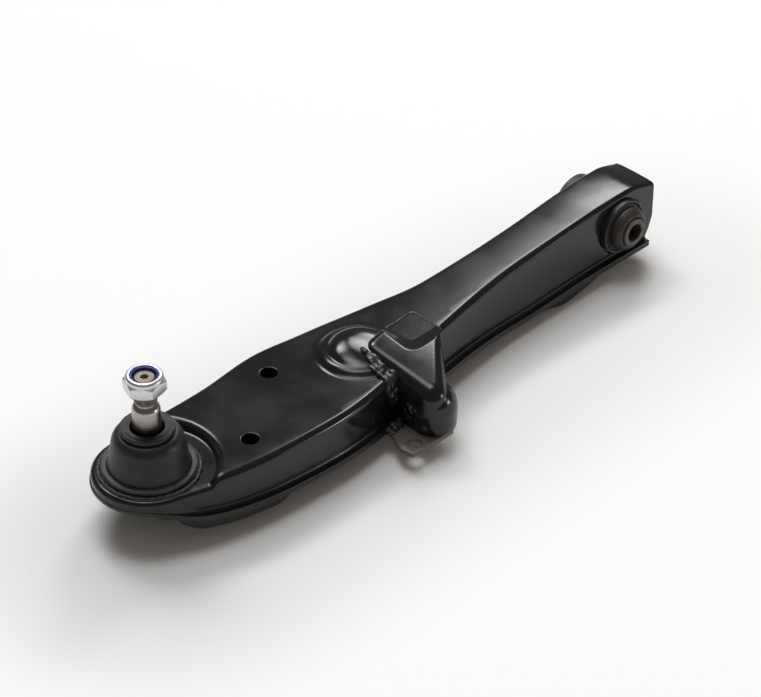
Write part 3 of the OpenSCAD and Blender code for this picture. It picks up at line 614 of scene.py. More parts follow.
def wall_line():
    """Points of the wall in plan, from the inner end along the front, round the tip and back."""
    front_end = FRONT[-1][0]
    mid = np.concatenate([np.linspace(-END_L, 340, 200)[:-1], np.linspace(340, 376, 46)[:-1]])
    front_x = np.concatenate([mid, np.linspace(376, front_end, 12)])
    rear_x = np.concatenate([mid, np.linspace(376, ARM_L, 12)])
    front = np.stack([front_x, curve(FRONT, front_x)], -1)
    rear = np.stack([rear_x, -curve(REAR, rear_x)], -1)
    arc = 44
    tip_front = polar(TIP_C, TIP_R, np.linspace(FRONT_ARC, 0, arc + 1)[1:])
    tip_rear = polar(TIP_C, TIP_R, np.linspace(0, -90, arc + 1)[1:-1])
    line = np.concatenate([front, tip_front, tip_rear, rear[::-1]])
    run = np.gradient(line, axis=0)
    run /= np.linalg.norm(run, axis=1)[:, None]
    out = np.stack([-run[:, 1], run[:, 0]], -1)
    out[0], out[-1] = (0, 1), (0, -1)
    return line, out


def shell_rows(line, out):
    """Outer and inner skin of the walls, as rows of points from the flange's rim to the top."""
    x = line[:, 0]
    zb, w, r = curve(JOINT, x), curve(FLANGE, x), curve(EDGE, x)
    inner = line - r[:, None] * out
    zt = lid_height(inner[:, 0], inner[:, 1])
    root = np.minimum(1.8, 0.6 * w)
    rim = np.minimum(0.45, 0.3 * w)
    outer, under = [], []
    for a in np.radians([0, 45, 90]):
        outer.append((w - rim * (1 - np.cos(a)), zb + SHEET_T - rim * (1 - np.sin(a))))
        under.append((w - rim * (1 - np.cos(a)), zb + rim * (1 - np.sin(a))))
    for a in np.radians([0, 22.5, 45, 67.5, 90]):
        outer.append((root * (1 - np.sin(a)), zb + SHEET_T + root * (1 - np.cos(a))))
        big = root + SHEET_T
        under.append((root - big * np.sin(a), zb + big * (1 - np.cos(a))))
    low, high = zb + SHEET_T + root, zt - r
    for u in np.linspace(0, 1, 9)[1:-1]:
        outer.append((0 * w, low + u * (high - low)))
        under.append((0 * w - SHEET_T, low + u * (high - low)))
    ri = np.maximum(r - SHEET_T, 0.5)
    for a in np.radians(np.linspace(0, 90, 11)):
        outer.append((-r * (1 - np.cos(a)), zt - r * (1 - np.sin(a))))
        under.append((-r + ri * np.cos(a), zt - r + (r - SHEET_T) * np.sin(a)))

    def place(off, z):
        p = line + np.asarray(off)[:, None] * out
        return np.concatenate([p, np.asarray(z)[:, None]], -1)

    outer = np.stack([place(*row) for row in outer], 1)
    under = np.stack([place(*row) for row in under], 1)
    for rows in (outer, under):
        near = np.clip(1 - (rows[..., 0] + END_L) / 30, 0, 1)
        rows[..., 0] += near * curve(END_CUT, rows[..., 2])
    return outer, under


def inside(loop, pts):
    """Which points are inside a closed loop in plan."""
    a, b = loop, np.roll(loop, -1, axis=0)
    hit = np.zeros(len(pts), bool)
    for (x0, y0), (x1, y1) in zip(a, b):
        cross = (pts[:, 1] < y0) != (pts[:, 1] < y1)
        if y0 != y1:
            hit ^= cross & (pts[:, 0] < x0 + (pts[:, 1] - y0) * (x1 - x0) / (y1 - y0))
    return hit


def far_from(loop, pts, gap):
    """Which points are more than a gap away from a loop's points."""
    keep = np.ones(len(pts), bool)
    for start in range(0, len(loop), 200):
        part = loop[start:start + 200]
        d2 = ((pts[:, None, :] - part[None]) ** 2).sum(-1).min(1)
        keep &= d2 > gap * gap
    return keep


def rings_of(centre, radii, count):
    return np.concatenate([polar(centre, r, np.arange(count) * 360 / count) for r in radii])


def lid_net(edge):
    """Triangles of the arm's top in plan, fine at the step, the boss and the holes."""
    holes = [polar(s, STRUT_R, np.arange(0, 360, 6)) for s in STRUTS]
    holes.append(polar((ARM_L, 0), HOUSING_R + 0.1, np.arange(0, 360, 2.5)))
    step = rings_of((ARM_L, 0), [26.5, 30, 34, 36.5, 37.5, *np.arange(37.9, 44.5, 0.35), 45.4], 240)
    boss = np.concatenate([rings_of(BOSS, np.arange(2, 14.5, 2.2), 40),
                           rings_of(BOSS, [*np.arange(15, 31.6, 0.7), 33], 160)])
    lips = np.concatenate([rings_of(s, [5.3, 5.45, 5.65, 6.0, 7.0, 8.5], 60) for s in STRUTS])
    gx, gy = np.meshgrid(np.arange(-END_L, 420, 3.6), np.arange(-48, 52, 3.6), indexing="ij")
    gx = gx + 1.8 * (np.arange(gx.shape[1]) % 2)
    field = np.stack([gx.ravel(), gy.ravel()], -1)
    stud_d = np.hypot(field[:, 0] - ARM_L, field[:, 1])
    clear = (stud_d > 46.8) & (np.hypot(*(field - BOSS).T) > 34.5)
    for s in STRUTS:
        clear &= np.hypot(*(field - s).T) > 10
    pts = np.concatenate([field[clear], step, boss, lips])
    pts = pts[inside(edge, pts)]
    pts = pts[far_from(edge, pts, 0.9)]
    verts, cons, base = [], [], 0
    for loop in (edge, *holes):
        n = len(loop)
        verts.append(loop)
        cons += [(base + i, base + (i + 1) % n) for i in range(n)]
        base += n
    verts = np.concatenate([*verts, pts])
    found = delaunay_2d_cdt([Vector(v) for v in verts.tolist()], cons, [], 0, 1e-5)
    plan = np.array([tuple(v) for v in found[0]])
    tris = np.array([f for f in found[2] if len(f) == 3])
    middle = plan[tris].mean(1)
    keep = inside(edge, middle)
    for loop in holes:
        keep &= ~inside(loop, middle)
    return plan, tris[keep], holes


def lip_drop(x, y):
    """Rounding of the two bolt holes' rims."""
    drop = np.zeros_like(x)
    lip = 0.55
    for s in STRUTS:
        d = np.hypot(x - s[0], y - s[1])
        u = np.clip((STRUT_R + lip - d) / lip, 0, 1)
        drop = np.maximum(drop, lip * (1 - np.sqrt(np.maximum(1 - u * u, 0))))
    return drop


def build_shell():
    """Walls, top, inner end and hole rims of the shell, cut for the bush."""
    line, out = wall_line()
    outer, under = shell_rows(line, out)
    n, m = outer.shape[:2]
    points, faces, base = [], [], 0

    def add(pts, fcs):
        nonlocal base
        points.append(np.asarray(pts, float).reshape(-1, 3))
        faces.extend([tuple(int(v) + base for v in f) for f in fcs])
        base += len(points[-1])

    strip = quads(n, m, False)
    add(outer, strip)
    add(under, strip[:, ::-1])
    add(np.stack([outer[:, 0], under[:, 0]], 1), quads(n, 2, False)[:, ::-1])
    for i in (0, n - 1):
        add(np.stack([outer[i], under[i]], 1), quads(m, 2, False))
    rim = outer[:, -1]
    low, high = rim[-1], rim[0]
    across = np.linspace(low[1], high[1], 13)[1:-1]
    end_line = np.stack([np.full(len(across), high[0]), across], -1)
    edge = np.concatenate([rim[:, :2], end_line])
    plan, tris, holes = lid_net(edge)
    x, y = plan.T
    z = lid_height(x, y)
    snug = {tuple(np.round(p[:2], 3)): p[2] for p in rim}
    z = np.array([snug.get(tuple(np.round(p, 3)), h) for p, h in zip(plan, z)])
    add(np.column_stack([plan, z - lip_drop(x, y)]), tris)
    add(np.column_stack([plan, z - SHEET_T]), tris[:, ::-1])
    seam = np.concatenate([rim[-1:, :2], end_line, rim[:1, :2]])
    seam_z = lid_height(*seam.T)
    seam_z[0], seam_z[-1] = rim[-1, 2], rim[0, 2]
    both = np.stack([np.column_stack([seam, seam_z]), np.column_stack([seam, seam_z - SHEET_T])], 1)
    add(both, quads(len(seam), 2, False))
    for loop in holes:
        hx, hy = loop.T
        hz = lid_height(hx, hy)
        wall = np.stack([np.column_stack([loop, hz - lip_drop(hx, hy)]),
                         np.column_stack([loop, hz - SHEET_T])], 0).reshape(-1, 3)
        add(wall, quads(2, len(loop), True))
    shell = make("arm_shell", np.concatenate(points), faces, 32)
    carve(shell, rod("bush_cut", (0, 0, 0), (0, 1, 0), TUBE_R + 0.05, 60, 160))
    settle(shell.data, 32)
    return shell


class ARM_OT_shell(bpy.types.Operator):
    """Upper shell: top-hat pressing with flange, boss, bolt holes and ball joint seat"""

    bl_idname = "arm.shell"
    bl_label = "Upper shell"

    def execute(self, context):
        dress(build_shell(), "arm", finishes()["arm_paint"], "upper_shell")
        return {"FINISHED"}


class ARM_OT_plate(bpy.types.Operator):
    """Lower plate: flat edge under the flange and a pressed pan"""

    bl_idname = "arm.plate"
    bl_label = "Lower plate"

    def execute(self, context):
        x = np.concatenate([np.linspace(-END_L + 7.2, 60, 60)[:-1], np.linspace(60, 320, 120)[:-1],
                            np.linspace(320, PLATE_END, 52)])
        round_y = np.sqrt(np.maximum(TIP_R**2 - (x - ARM_L) ** 2, 0))
        front = np.where(x < FRONT[-1][0], curve(FRONT, np.minimum(x, FRONT[-1][0])), TIP_C[1] + round_y)
        rear = np.where(x < ARM_L, curve(REAR, np.minimum(x, ARM_L)), round_y - TIP_C[1])
        zb, w, depth, into = curve(JOINT, x) - 0.05, curve(FLANGE, x), curve(PAN, x), curve(PAN_IN, x)
        fall = [(-0.9, 0), (-0.3, 0.02), (0.1, 0.1), (0.4, 0.27), (0.75, 0.5), (1.1, 0.73), (1.4, 0.9),
                (1.8, 0.98), (2.4, 1)]
        rows = [(w, -0.4 + 0 * x), (w - 0.12, -0.12 + 0 * x), (w - 0.4, 0 * x)]
        rows += [(w - np.maximum(into + d, 0.5 + 0.05 * k), -depth * s) for k, (d, s) in enumerate(fall)]
        inset = w - np.maximum(into + 2.4, 0.95)
        upper = [np.column_stack([x, front + off, zb + dz]) for off, dz in rows]
        upper += [np.column_stack([x, (front + inset) * (1 - u) - (rear + inset) * u, zb - depth])
                  for u in np.linspace(0, 1, 10)[1:-1]]
        upper += [np.column_stack([x, -rear - off, zb + dz]) for off, dz in rows[::-1]]
        upper = np.stack(upper, 1)
        lower = upper.copy()
        lower[..., 2] -= SHEET_T
        for k, lift in ((0, 0.8), (1, 0.24), (-1, 0.8), (-2, 0.24)):
            lower[:, k, 2] += lift
        n, m = upper.shape[:2]
        up = quads(n, m, False)
        pts = np.concatenate([upper.reshape(-1, 3), lower.reshape(-1, 3)])
        faces = [tuple(f[::-1]) for f in up] + [tuple(f + n * m) for f in up]
        loop = [i * m for i in range(n)] + [(n - 1) * m + k for k in range(1, m)]
        loop += [i * m + m - 1 for i in range(n - 2, -1, -1)] + [k for k in range(m - 2, 0, -1)]
        faces += [(a, b, b + n * m, a + n * m) for a, b in zip(loop, loop[1:] + loop[:1])]
        plate = make("closing_plate", pts, faces, 32)
        tools = [rod(f"access_{i}", (*s, -28), (0, 0, 1), 12, 40) for i, s in enumerate(STRUTS)]
        tools.append(rod("housing_cut", (ARM_L, 0, -20), (0, 0, 1), HOUSING_R + 1, 60, 128))
        carve(plate, *tools)
        settle(plate.data, 32)
        dress(plate, "arm", finishes()["arm_paint"], "lower_plate")
        return {"FINISHED"}


# Bush


class ARM_OT_bush(bpy.types.Operator):
    """Rubber bush: welded tube, pressed sleeve, rubber with its ridges and the inner sleeve"""

    bl_idname = "arm.bush"
    bl_label = "Bush"

    def execute(self, context):
        f = finishes()
        half = 16.4
        tube = turned("bush_ring", soften([(18.25, -half), (TUBE_R, -half), (TUBE_R, half),
                                           (18.25, half)], 0.5), about_bush)
        dress(tube, "arm", f["arm_paint"], "bush_tube")
        sleeve = turned("bush_shell", soften([(16.8, -24), (18.2, -24), (18.2, 21), (16.8, 21)], 0.45),
                        about_bush)
        dress(sleeve, "arm", f["dark_steel"], "bush_outer_sleeve")
        side = [(9.6, 28.0), (10.4, 28.6), (11.6, 28.4), (13.6, 26.7), (14.75, 23.9), (14.9, 22.6),
                (14.2, 21.6), (14.6, 20.6), (15.6, 20.9), (16.3, 20.4), (16.74, 19.4)]
        rubber = turned("bush_block", soften(side + [(r, -z) for r, z in side[::-1]], 1.1, 5), about_bush)
        dress(rubber, "arm", f["bush_rubber"], "bush_rubber")
        inner = turned("pivot_sleeve", soften([(6.1, -30), (9.5, -30), (9.5, 30), (6.1, 30)], 0.7, 5),
                       about_bush)
        dress(inner, "pivot_sleeve", f["sleeve_steel"], "bush_inner_sleeve")
        return {"FINISHED"}


# Bracket

HOOD_X = 224.0
HOOD_REAR_Y = 9.0
NOSE_R = 13.2
NOSE_Y = 60.8
RIDGE_R = 9.5
HOOD_T = 2.6
PAD_X = HOOD_X - 49
BASE_Z = JOINT_Z + 1.3
PAD_EDGE = (HOOD_X - 27, 27.5)
SLOPE_W = 9.5
HOOD = [(HOOD_X - 9, HOOD_REAR_Y + 9, 9, 6.5), (HOOD_X - RIDGE_R, NOSE_Y + 1.2, RIDGE_R, 9),
        (PAD_X + 5, 27, 5, 3.5), (PAD_X + 5, HOOD_REAR_Y + 1, 5, 3.5)]
SIDE_HOLE = (HOOD_X, NOSE_Y - 6.5, -9.6)
BASE_HOLE = (HOOD_X + 8, NOSE_Y + 5)


def hood_z(x, y):
    """Height of the hood's top, with a slight crown across it."""
    crown = 0.7 * ((x - HOOD_X + 24) / 24) ** 2
    return 17.3 - crown + 0.065 * (HOOD_X - x) - 7 * (y - HOOD_REAR_Y) / (NOSE_Y - HOOD_REAR_Y)


def pad_z(x):
    """Height of the weld pad's top."""
    slope = (curve(TOP, PAD_X) - curve(TOP, PAD_EDGE[0])) / (PAD_EDGE[0] - PAD_X)
    return curve(TOP, PAD_EDGE[0]) + HOOD_T + slope * (PAD_EDGE[0] - x)


def round_line(circles, inset, n=20):
    """Outline round a row of circles, each drawn in by a share of its edge radius."""
    def heading(a, b):
        d = (b[0] - a[0], b[1] - a[1])
        return (math.degrees(math.atan2(d[1], d[0])) - 90
                + math.degrees(math.asin((a[2] - b[2]) / math.hypot(*d))))
    pts, edge = [], []
    m = len(circles)
    for i, c in enumerate(circles):
        start = heading(circles[i - 1], c)
        end = heading(c, circles[(i + 1) % m])
        while end < start:
            end += 360
        pts.append(polar(c, c[2] - inset * c[3], np.linspace(start, end, n + 1)))
        edge.append(np.full(n + 1, c[3]))
    line, edges = [], []
    u = np.linspace(0, 1, 14)[1:-1]
    for i in range(m):
        j = (i + 1) % m
        line += [pts[i], pts[i][-1] * (1 - u[:, None]) + pts[j][0] * u[:, None]]
        edges += [edge[i], edge[i][-1] * (1 - u) + edge[j][0] * u]
    return np.concatenate(line), np.concatenate(edges)


def hood_solid(name, inner, floor):
    """The hood's ridge and nose as one solid, drawn in by a thickness."""
    circles = [(x, y, r - inner, max(e - inner, 0.6)) for x, y, r, e in HOOD]
    wall, _ = round_line(circles, 0)
    rings = [np.column_stack([wall, np.full(len(wall), floor)])]
    for a in np.radians(np.linspace(0, 90, 10)):
        line, edge = round_line(circles, 1 - math.cos(a))
        rings.append(np.column_stack([line, hood_z(*line.T) - inner - edge * (1 - math.sin(a))]))
    middle = line.mean(0)
    for share in np.linspace(0.96, 0.02, 24):
        near = middle + share * (line - middle)
        rings.append(np.column_stack([near, hood_z(*near.T) - inner]))
    ridge = loft(name, rings)
    r = NOSE_R + 0.8 - inner
    dome, low = 1.15 * r, 7.5 - inner - 1.15 * r
    a = np.radians(np.linspace(0, 88, 16))
    line = [(r - 0.6, floor), (r - 0.15, floor + 5)]
    line += list(zip(r * np.cos(a), low + dome * np.sin(a)))
    nose = spun(name + "_nose", line, (HOOD_X - NOSE_R, NOSE_Y), 96)
    return carve(ridge, nose, operation="UNION")


def pad_recess(name, out):
    """What is cut from the hood over its weld pad, with the slope round the pad."""
    r, far = 4.0, 60.0
    rings = []
    for spread, share, rise in ((0, 0, 0), (SLOPE_W, 1, 0), (SLOPE_W, 1, 30)):
        x, y = PAD_EDGE[0] + 0.6 * spread, PAD_EDGE[1] + 0.6 * spread
        at = [(x - r, y - r), (x - far, y - r), (x - far, y - far), (x - r, y - far)]
        line, _ = round_line([(*p, r + out + 0.4 * spread, 1) for p in at], 0)
        low = pad_z(line[:, 0])
        rings.append(np.column_stack([line, low + share * (hood_z(*line.T) + 0.02 - low) - out + rise]))
    return loft(name, rings)


def arm_solid(name):
    """The arm's filled outside near the bracket, for cutting the hood to it."""
    line, out = wall_line()
    outer, _ = shell_rows(line, out)
    n = len(outer)
    pairs = [(i, n - 1 - i) for i in range(n) if 120 < line[i, 0] < 300 and i < n // 2]
    u = np.linspace(0, 1, 60)[1:-1]
    rings = []
    for i, j in pairs:
        f, r = outer[i], outer[j]
        top = f[-1][None, :] * (1 - u[:, None]) + r[-1][None, :] * u[:, None]
        top[:, 2] = lid_height(top[:, 0], top[:, 1])
        low_f, low_r = f[:1] - [0, 0, 6], r[:1] - [0, 0, 6]
        rings.append(np.concatenate([low_f, f, top, r[::-1], low_r]))
    return loft(name, rings)


def build_hood():
    """Hollow hood, cut to the arm and to its side hole, with rounded creases."""
    hood = hood_solid("bracket_hood_skin", 0, BASE_Z)
    carve(hood, pad_recess("recess", 0))
    core = hood_solid("core", HOOD_T, BASE_Z - 1)
    carve(core, pad_recess("recess_in", HOOD_T))
    carve(hood, core, arm_solid("arm_fill"), rod("side_hole", SIDE_HOLE, (1, 0, 0), 5.2, 14))
    return melt(hood, 0.5, 7)


def build_base():
    """Plate under the nose with bevelled edges and a hole."""
    front = 73.4
    seam = HOOD_X + 11.5
    x = np.linspace(HOOD_X - 20, seam, 14)
    line = list(zip(x, curve(FRONT, x) + 4.8))
    line += [(seam + 2, line[-1][1] + 5), (HOOD_X + 18.3, front - 9.5), (HOOD_X + 16.8, front),
             (HOOD_X - 17, front), (HOOD_X - 20, front - 5)]
    rings = [[(u, v, BASE_Z - 0.05 - t) for u, v in line] for t in (0, 3)]
    plate = loft("bracket_base", [np.array(r) for r in rings])
    carve(plate, rod("base_hole", (*BASE_HOLE, BASE_Z - 1.5), (0, 0, 1), 4.2, 9, 64))
    bevel_edges(plate, 0.55, 3, 50)
    settle(plate.data, 40)
    return plate


def build_nut():
    """Weld nut behind the side hole, with its thread."""
    seg, pitch = 96, 1.5
    a = full_turn(seg)
    hexagon = np.minimum(8.5 * math.cos(math.pi / 6) / np.cos(a % (math.pi / 3) - math.pi / 6), 8.35)
    x0, x1 = SIDE_HOLE[0] - HOOD_T - 0.05, SIDE_HOLE[0] - HOOD_T - 8.05
    rows = [(np.full(seg, 5.3), x0), (hexagon - 0.5, x0), (hexagon, x0 - 0.6), (hexagon, x1 + 0.6),
            (hexagon - 0.5, x1), (np.full(seg, 5.2), x1)]
    for x in np.arange(x1 + 0.15, x0 - 0.1, pitch / 10):
        phase = (x / pitch - a / (2 * math.pi)) % 1
        rows.append((4.3 + 0.75 * np.clip(1.2 * np.abs(2 * phase - 1) - 0.1, 0, 1), x))
    _, y, z = SIDE_HOLE
    pts = np.concatenate([np.stack([x + 0 * r, y + r * np.sin(a), z + r * np.cos(a)], -1) for r, x in rows])
    return make("bracket_weld_nut", pts, closed_quads(len(rows), seg), 30)


class ARM_OT_bracket(bpy.types.Operator):
    """Side bracket: pressed hood, base plate and the nut behind its side hole"""

    bl_idname = "arm.bracket"
    bl_label = "Bracket"

    def execute(self, context):
        f = finishes()
        dress(build_hood(), "arm", f["arm_paint"], "bracket_hood")
        dress(build_base(), "arm", f["plate_sheen_paint"], "bracket_base_plate")
        dress(build_nut(), "arm", f["thread_painted_glints"], "bracket_nut")
        return {"FINISHED"}


# Welds

# Runs of the side bead: shift from the hood's wall, start and end down the arm, relative size
SIDE_RUNS = ((0.5, 0, 47, 1.1), (3.6, 6, 45, 1.0), (6.4, 13, 38, 0.85))
# Runs of the base bead: distance from the arm's wall, height, rate of its swelling, start
BASE_RUNS = ((4.6, 1.4, 1.9, 224.5), (6.4, 0.2, 1.5, 226.5))
COLLAR_R = 29.3
BEAD_FROM_Y = 13.0


def bead_tree():
    """Geometry nodes: drops of weld along a line, uneven in size and place."""
    if "weld_bead" in bpy.data.node_groups:
        return bpy.data.node_groups["weld_bead"]
    tree = bpy.data.node_groups.new("weld_bead", "GeometryNodeTree")
    face = tree.interface
    face.new_socket("Geometry", in_out="OUTPUT", socket_type="NodeSocketGeometry")
    for name, kind in (("Geometry", "Geometry"), ("Spacing", "Float"), ("Drop", "Float"), ("Wander", "Float"),
                       ("Seed", "Int"), ("Finish", "Material")):
        face.new_socket(name, in_out="INPUT", socket_type="NodeSocket" + kind)

    def node(kind, *settings, **named):
        return add_node(tree, kind, *settings, **named)

    entry = tree.nodes.new("NodeGroupInput").outputs
    given = {socket.name: Socket(tree, socket) for socket in entry if socket.name}
    line = node("GeometryNodeResampleCurve", {"mode": "LENGTH"}, Curve=given["Geometry"],
                Length=given["Spacing"])
    stray = node("FunctionNodeRandomValue", {"data_type": "FLOAT_VECTOR"}, Seed=given["Seed"],
                 Min=(-1, -1, -0.5), Max=(1, 1, 0.5))
    reach = node("ShaderNodeVectorMath", {"operation": "SCALE"}, 0, {0: stray}, Scale=given["Wander"])
    moved = node("GeometryNodeSetPosition", Geometry=line, Offset=reach)
    drop = node("GeometryNodeMeshIcoSphere", Radius=given["Drop"], Subdivisions=3)
    # Sockets 2 and 3 and output 1 are those of a single number
    uneven = node("FunctionNodeRandomValue", {"data_type": "FLOAT"}, 1, {2: 0.9, 3: 1.08}, Seed=given["Seed"])
    size = node("GeometryNodeInputRadius") * uneven
    drops = node("GeometryNodeInstanceOnPoints", Points=moved, Instance=drop, Scale=size)
    real = node("GeometryNodeRealizeInstances", Geometry=drops)
    done = node("GeometryNodeSetMaterial", Geometry=real, Material=given["Finish"])
    feed(tree, tree.nodes.new("NodeGroupOutput").inputs["Geometry"], done)
    return tree


def bead(name, lines, drop, spacing, wander, seed, voxel, passes):
    """A weld along lines of (x, y, z, relative size), fused into one skin."""
    curve_data = bpy.data.curves.new(name, "CURVE")
    curve_data.dimensions = "3D"
    for pts in lines:
        spline = curve_data.splines.new("POLY")
        spline.points.add(len(pts) - 1)
        for point, (x, y, z, size) in zip(spline.points, pts):
            point.co = (x * MM, y * MM, z * MM, 1)
            point.radius = size
    path = link(bpy.data.objects.new(name + "_path", curve_data))
    mod = path.modifiers.new("bead", "NODES")
    mod.node_group = bead_tree()
    values = {"Spacing": spacing * MM, "Drop": drop * MM, "Wander": wander * MM, "Seed": seed,
              "Finish": finishes()["weld"]}
    for item in mod.node_group.interface.items_tree:
        if item.in_out == "INPUT" and item.name in values:
            mod[item.identifier] = values[item.name]
    path.update_tag()
    dg = bpy.context.evaluated_depsgraph_get()
    mesh = bpy.data.meshes.new_from_object(path.evaluated_get(dg))
    bpy.data.objects.remove(path)
    bpy.data.curves.remove(curve_data)
    if not mesh.polygons:
        raise RuntimeError("no weld made for " + name)
    obj = link(bpy.data.objects.new(name, mesh))
    mesh.name = name
    return melt(obj, voxel, passes, 60)


def over_edge(x, t):
    """A place on the arm's outside at a station: t runs from the boss down the front wall."""
    w, r, zt = curve(FRONT, x), curve(EDGE, x), lid_height(np.array(x), curve(FRONT, x) - 7)
    flat = w - r - BEAD_FROM_Y
    arc = r * math.pi / 2
    if t < flat:
        y = BEAD_FROM_Y + t
        return y, float(lid_height(np.array(x), np.array(y))), 0.0
    if t < flat + arc:
        a = (t - flat) / r
        return w - r * (1 - math.sin(a)), zt - r * (1 - math.cos(a)), a
    return w, zt - r - (t - flat - arc), math.pi / 2


class ARM_OT_welds(bpy.types.Operator):
    """Weld beads round the bracket and the ball joint"""

    bl_idname = "arm.welds"
    bl_label = "Welds"

    def execute(self, context):
        detail = context.scene.arm_detail
        drop, spacing, seed = detail.drop / MM, detail.spacing / MM, detail.seed
        side = []
        for k, (shift, start, end, size) in enumerate(SIDE_RUNS):
            run = []
            for t in np.linspace(start, end, 60):
                fade = math.sin(math.pi * min(1, max(0, (t - start) / (end - start)))) ** 0.35
                x = HOOD_X + shift + 0.8 * fade * math.sin(t / (2.3 + 0.5 * k) + 2.1 * k)
                y, z, a = over_edge(x, float(t))
                swell = 1 + 0.17 * math.sin(t / (1.3 + 0.2 * k) + k)
                lift = 0.3 * size * fade
                run.append((x, y + lift * math.sin(a), z + lift * math.cos(a),
                            size * swell * (0.5 + 0.5 * fade)))
            side.append(run)
        rim = [(x, 4.6, 0.55) for x in np.linspace(196.5, 176, 30)] + [(174.6, 5.4, 0.6)]
        rim += [(174.0, y, 0.55 + 0.2 * smooth_step((y - 18) / 8)) for y in np.linspace(7, 27.5, 26)]
        rim = [(x, y, float(curve(TOP, x)) + 0.6, size * (1 + 0.16 * math.sin(0.9 * k)))
               for k, (x, y, size) in enumerate(rim)]
        low = [[(x, float(curve(FRONT, x)) + off, BASE_Z + up, 1.0 + 0.25 * math.sin(x * rate))
                for x in np.linspace(first, 236, 30)] for off, up, rate, first in BASE_RUNS]
        ring = [(ARM_L + COLLAR_R * math.cos(a), COLLAR_R * math.sin(a), 3.5,
                 0.62 * (1 + 0.1 * math.sin(31 * a) + 0.08 * math.sin(53 * a + 1)))
                for a in np.radians(np.arange(0, 362, 1.5))]
        beads = (("side_bead", side, 0.2, 0.4, 6, "weld", "bracket_weld_side"),
                 ("pad_bead", [rim], 0.25, 0.3, 3, "weld", "bracket_weld_pad"),
                 ("base_bead", low, 0.5, 0.4, 4, "weld", "bracket_weld_base"),
                 ("housing_bead", [ring], 0.3, 0.4, 7, "dull_weld", "housing_weld"))
        for k, (name, lines, wander, voxel, passes, finish, node) in enumerate(beads):
            weld = bead(name, lines, drop, spacing, wander, seed + k, voxel, passes)
            dress(weld, "arm", finishes()[finish], node)
        return {"FINISHED"}


# Ball joint


class ARM_OT_joint(bpy.types.Operator):
    """Clamp ring round the dust boot's foot"""

    bl_idname = "arm.joint"
    bl_label = "Clamp ring"

    def execute(self, context):
        profile = [(26.05, 4.27), (27.4, 4.27), (27.7, 4.7), (27.7, 6.6), (27.1, 7.15), (24.55, 7.15),
                   (24.55, 6.47), (26.05, 6.47)]
        ring = turned("boot_clamp", soften(profile, 0.28), segments=160)
        dress(ring, "arm", finishes()["ring_steel"], "boot_clamp_ring")
        return {"FINISHED"}


BOOT_SPLIT = 17.0


def boot_profile():
    """Outer and inner line of the dust boot, from the foot up."""
    outer = [(26.0, 4.25), (26.0, 6.35), (24.3, 6.45), (23.8, 9.4), (22.8, 15), (21.6, 21.4), (20.75, 25.4),
             (19.6, 27.7), (18.1, 29.2), (16.6, 29.9), (13.4, 29.9), (13.4, 31.0), (15.6, 31.0),
             (16.0, 31.45), (16.0, 33.0), (15.4, 33.5), (13.2, 33.35), (12.4, 33.2)]
    inner = [(10.3, 33.45), (9.85, 33.1), (9.85, 28.9), (12.2, 27.75), (16.1, 27.75), (17.9, 26.35),
             (18.9, 24.9), (19.8, 21.4), (21.0, 15), (21.15, 9.6), (21.15, 4.25)]
    return soften(outer + inner, 0.8, 5)


class ARM_OT_boot(bpy.types.Operator):
    """Dust boot in two halves, split at one height"""

    bl_idname = "arm.boot"
    bl_label = "Dust boot"

    def execute(self, context):
        f = finishes()
        whole = boot_profile()
        halves = (("boot_skirt", -99, BOOT_SPLIT, 7.0, BOOT_SPLIT, ("arm", "floating_seat")),
                  ("boot_neck", BOOT_SPLIT, 99, BOOT_SPLIT, 29.0, ("floating_seat", "swing_ring")))
        for name, low, high, z0, z1, bodies in halves:
            part = []
            for p, q in zip(whole, np.roll(whole, -1, axis=0)):
                if low <= p[1] <= high:
                    part.append(p)
                for cut in (low, high):
                    if (p[1] - cut) * (q[1] - cut) < 0:
                        part.append(p + (q - p) * (cut - p[1]) / (q[1] - p[1]))
            half = turned(name, part, segments=144)
            half.data.materials.append(f["boot_rubber"])
            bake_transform(half)
            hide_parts("dust_boot")
        return {"FINISHED"}


BALL_R, BALL_Z = 13.5, 4.0
THREAD_Z = (50.5, 67.4)
ROOT_R = 5.75
NUT_Z = (59.5, 67.1)
NUT_TURN = 10.0
NUT_FLATS = 22.0


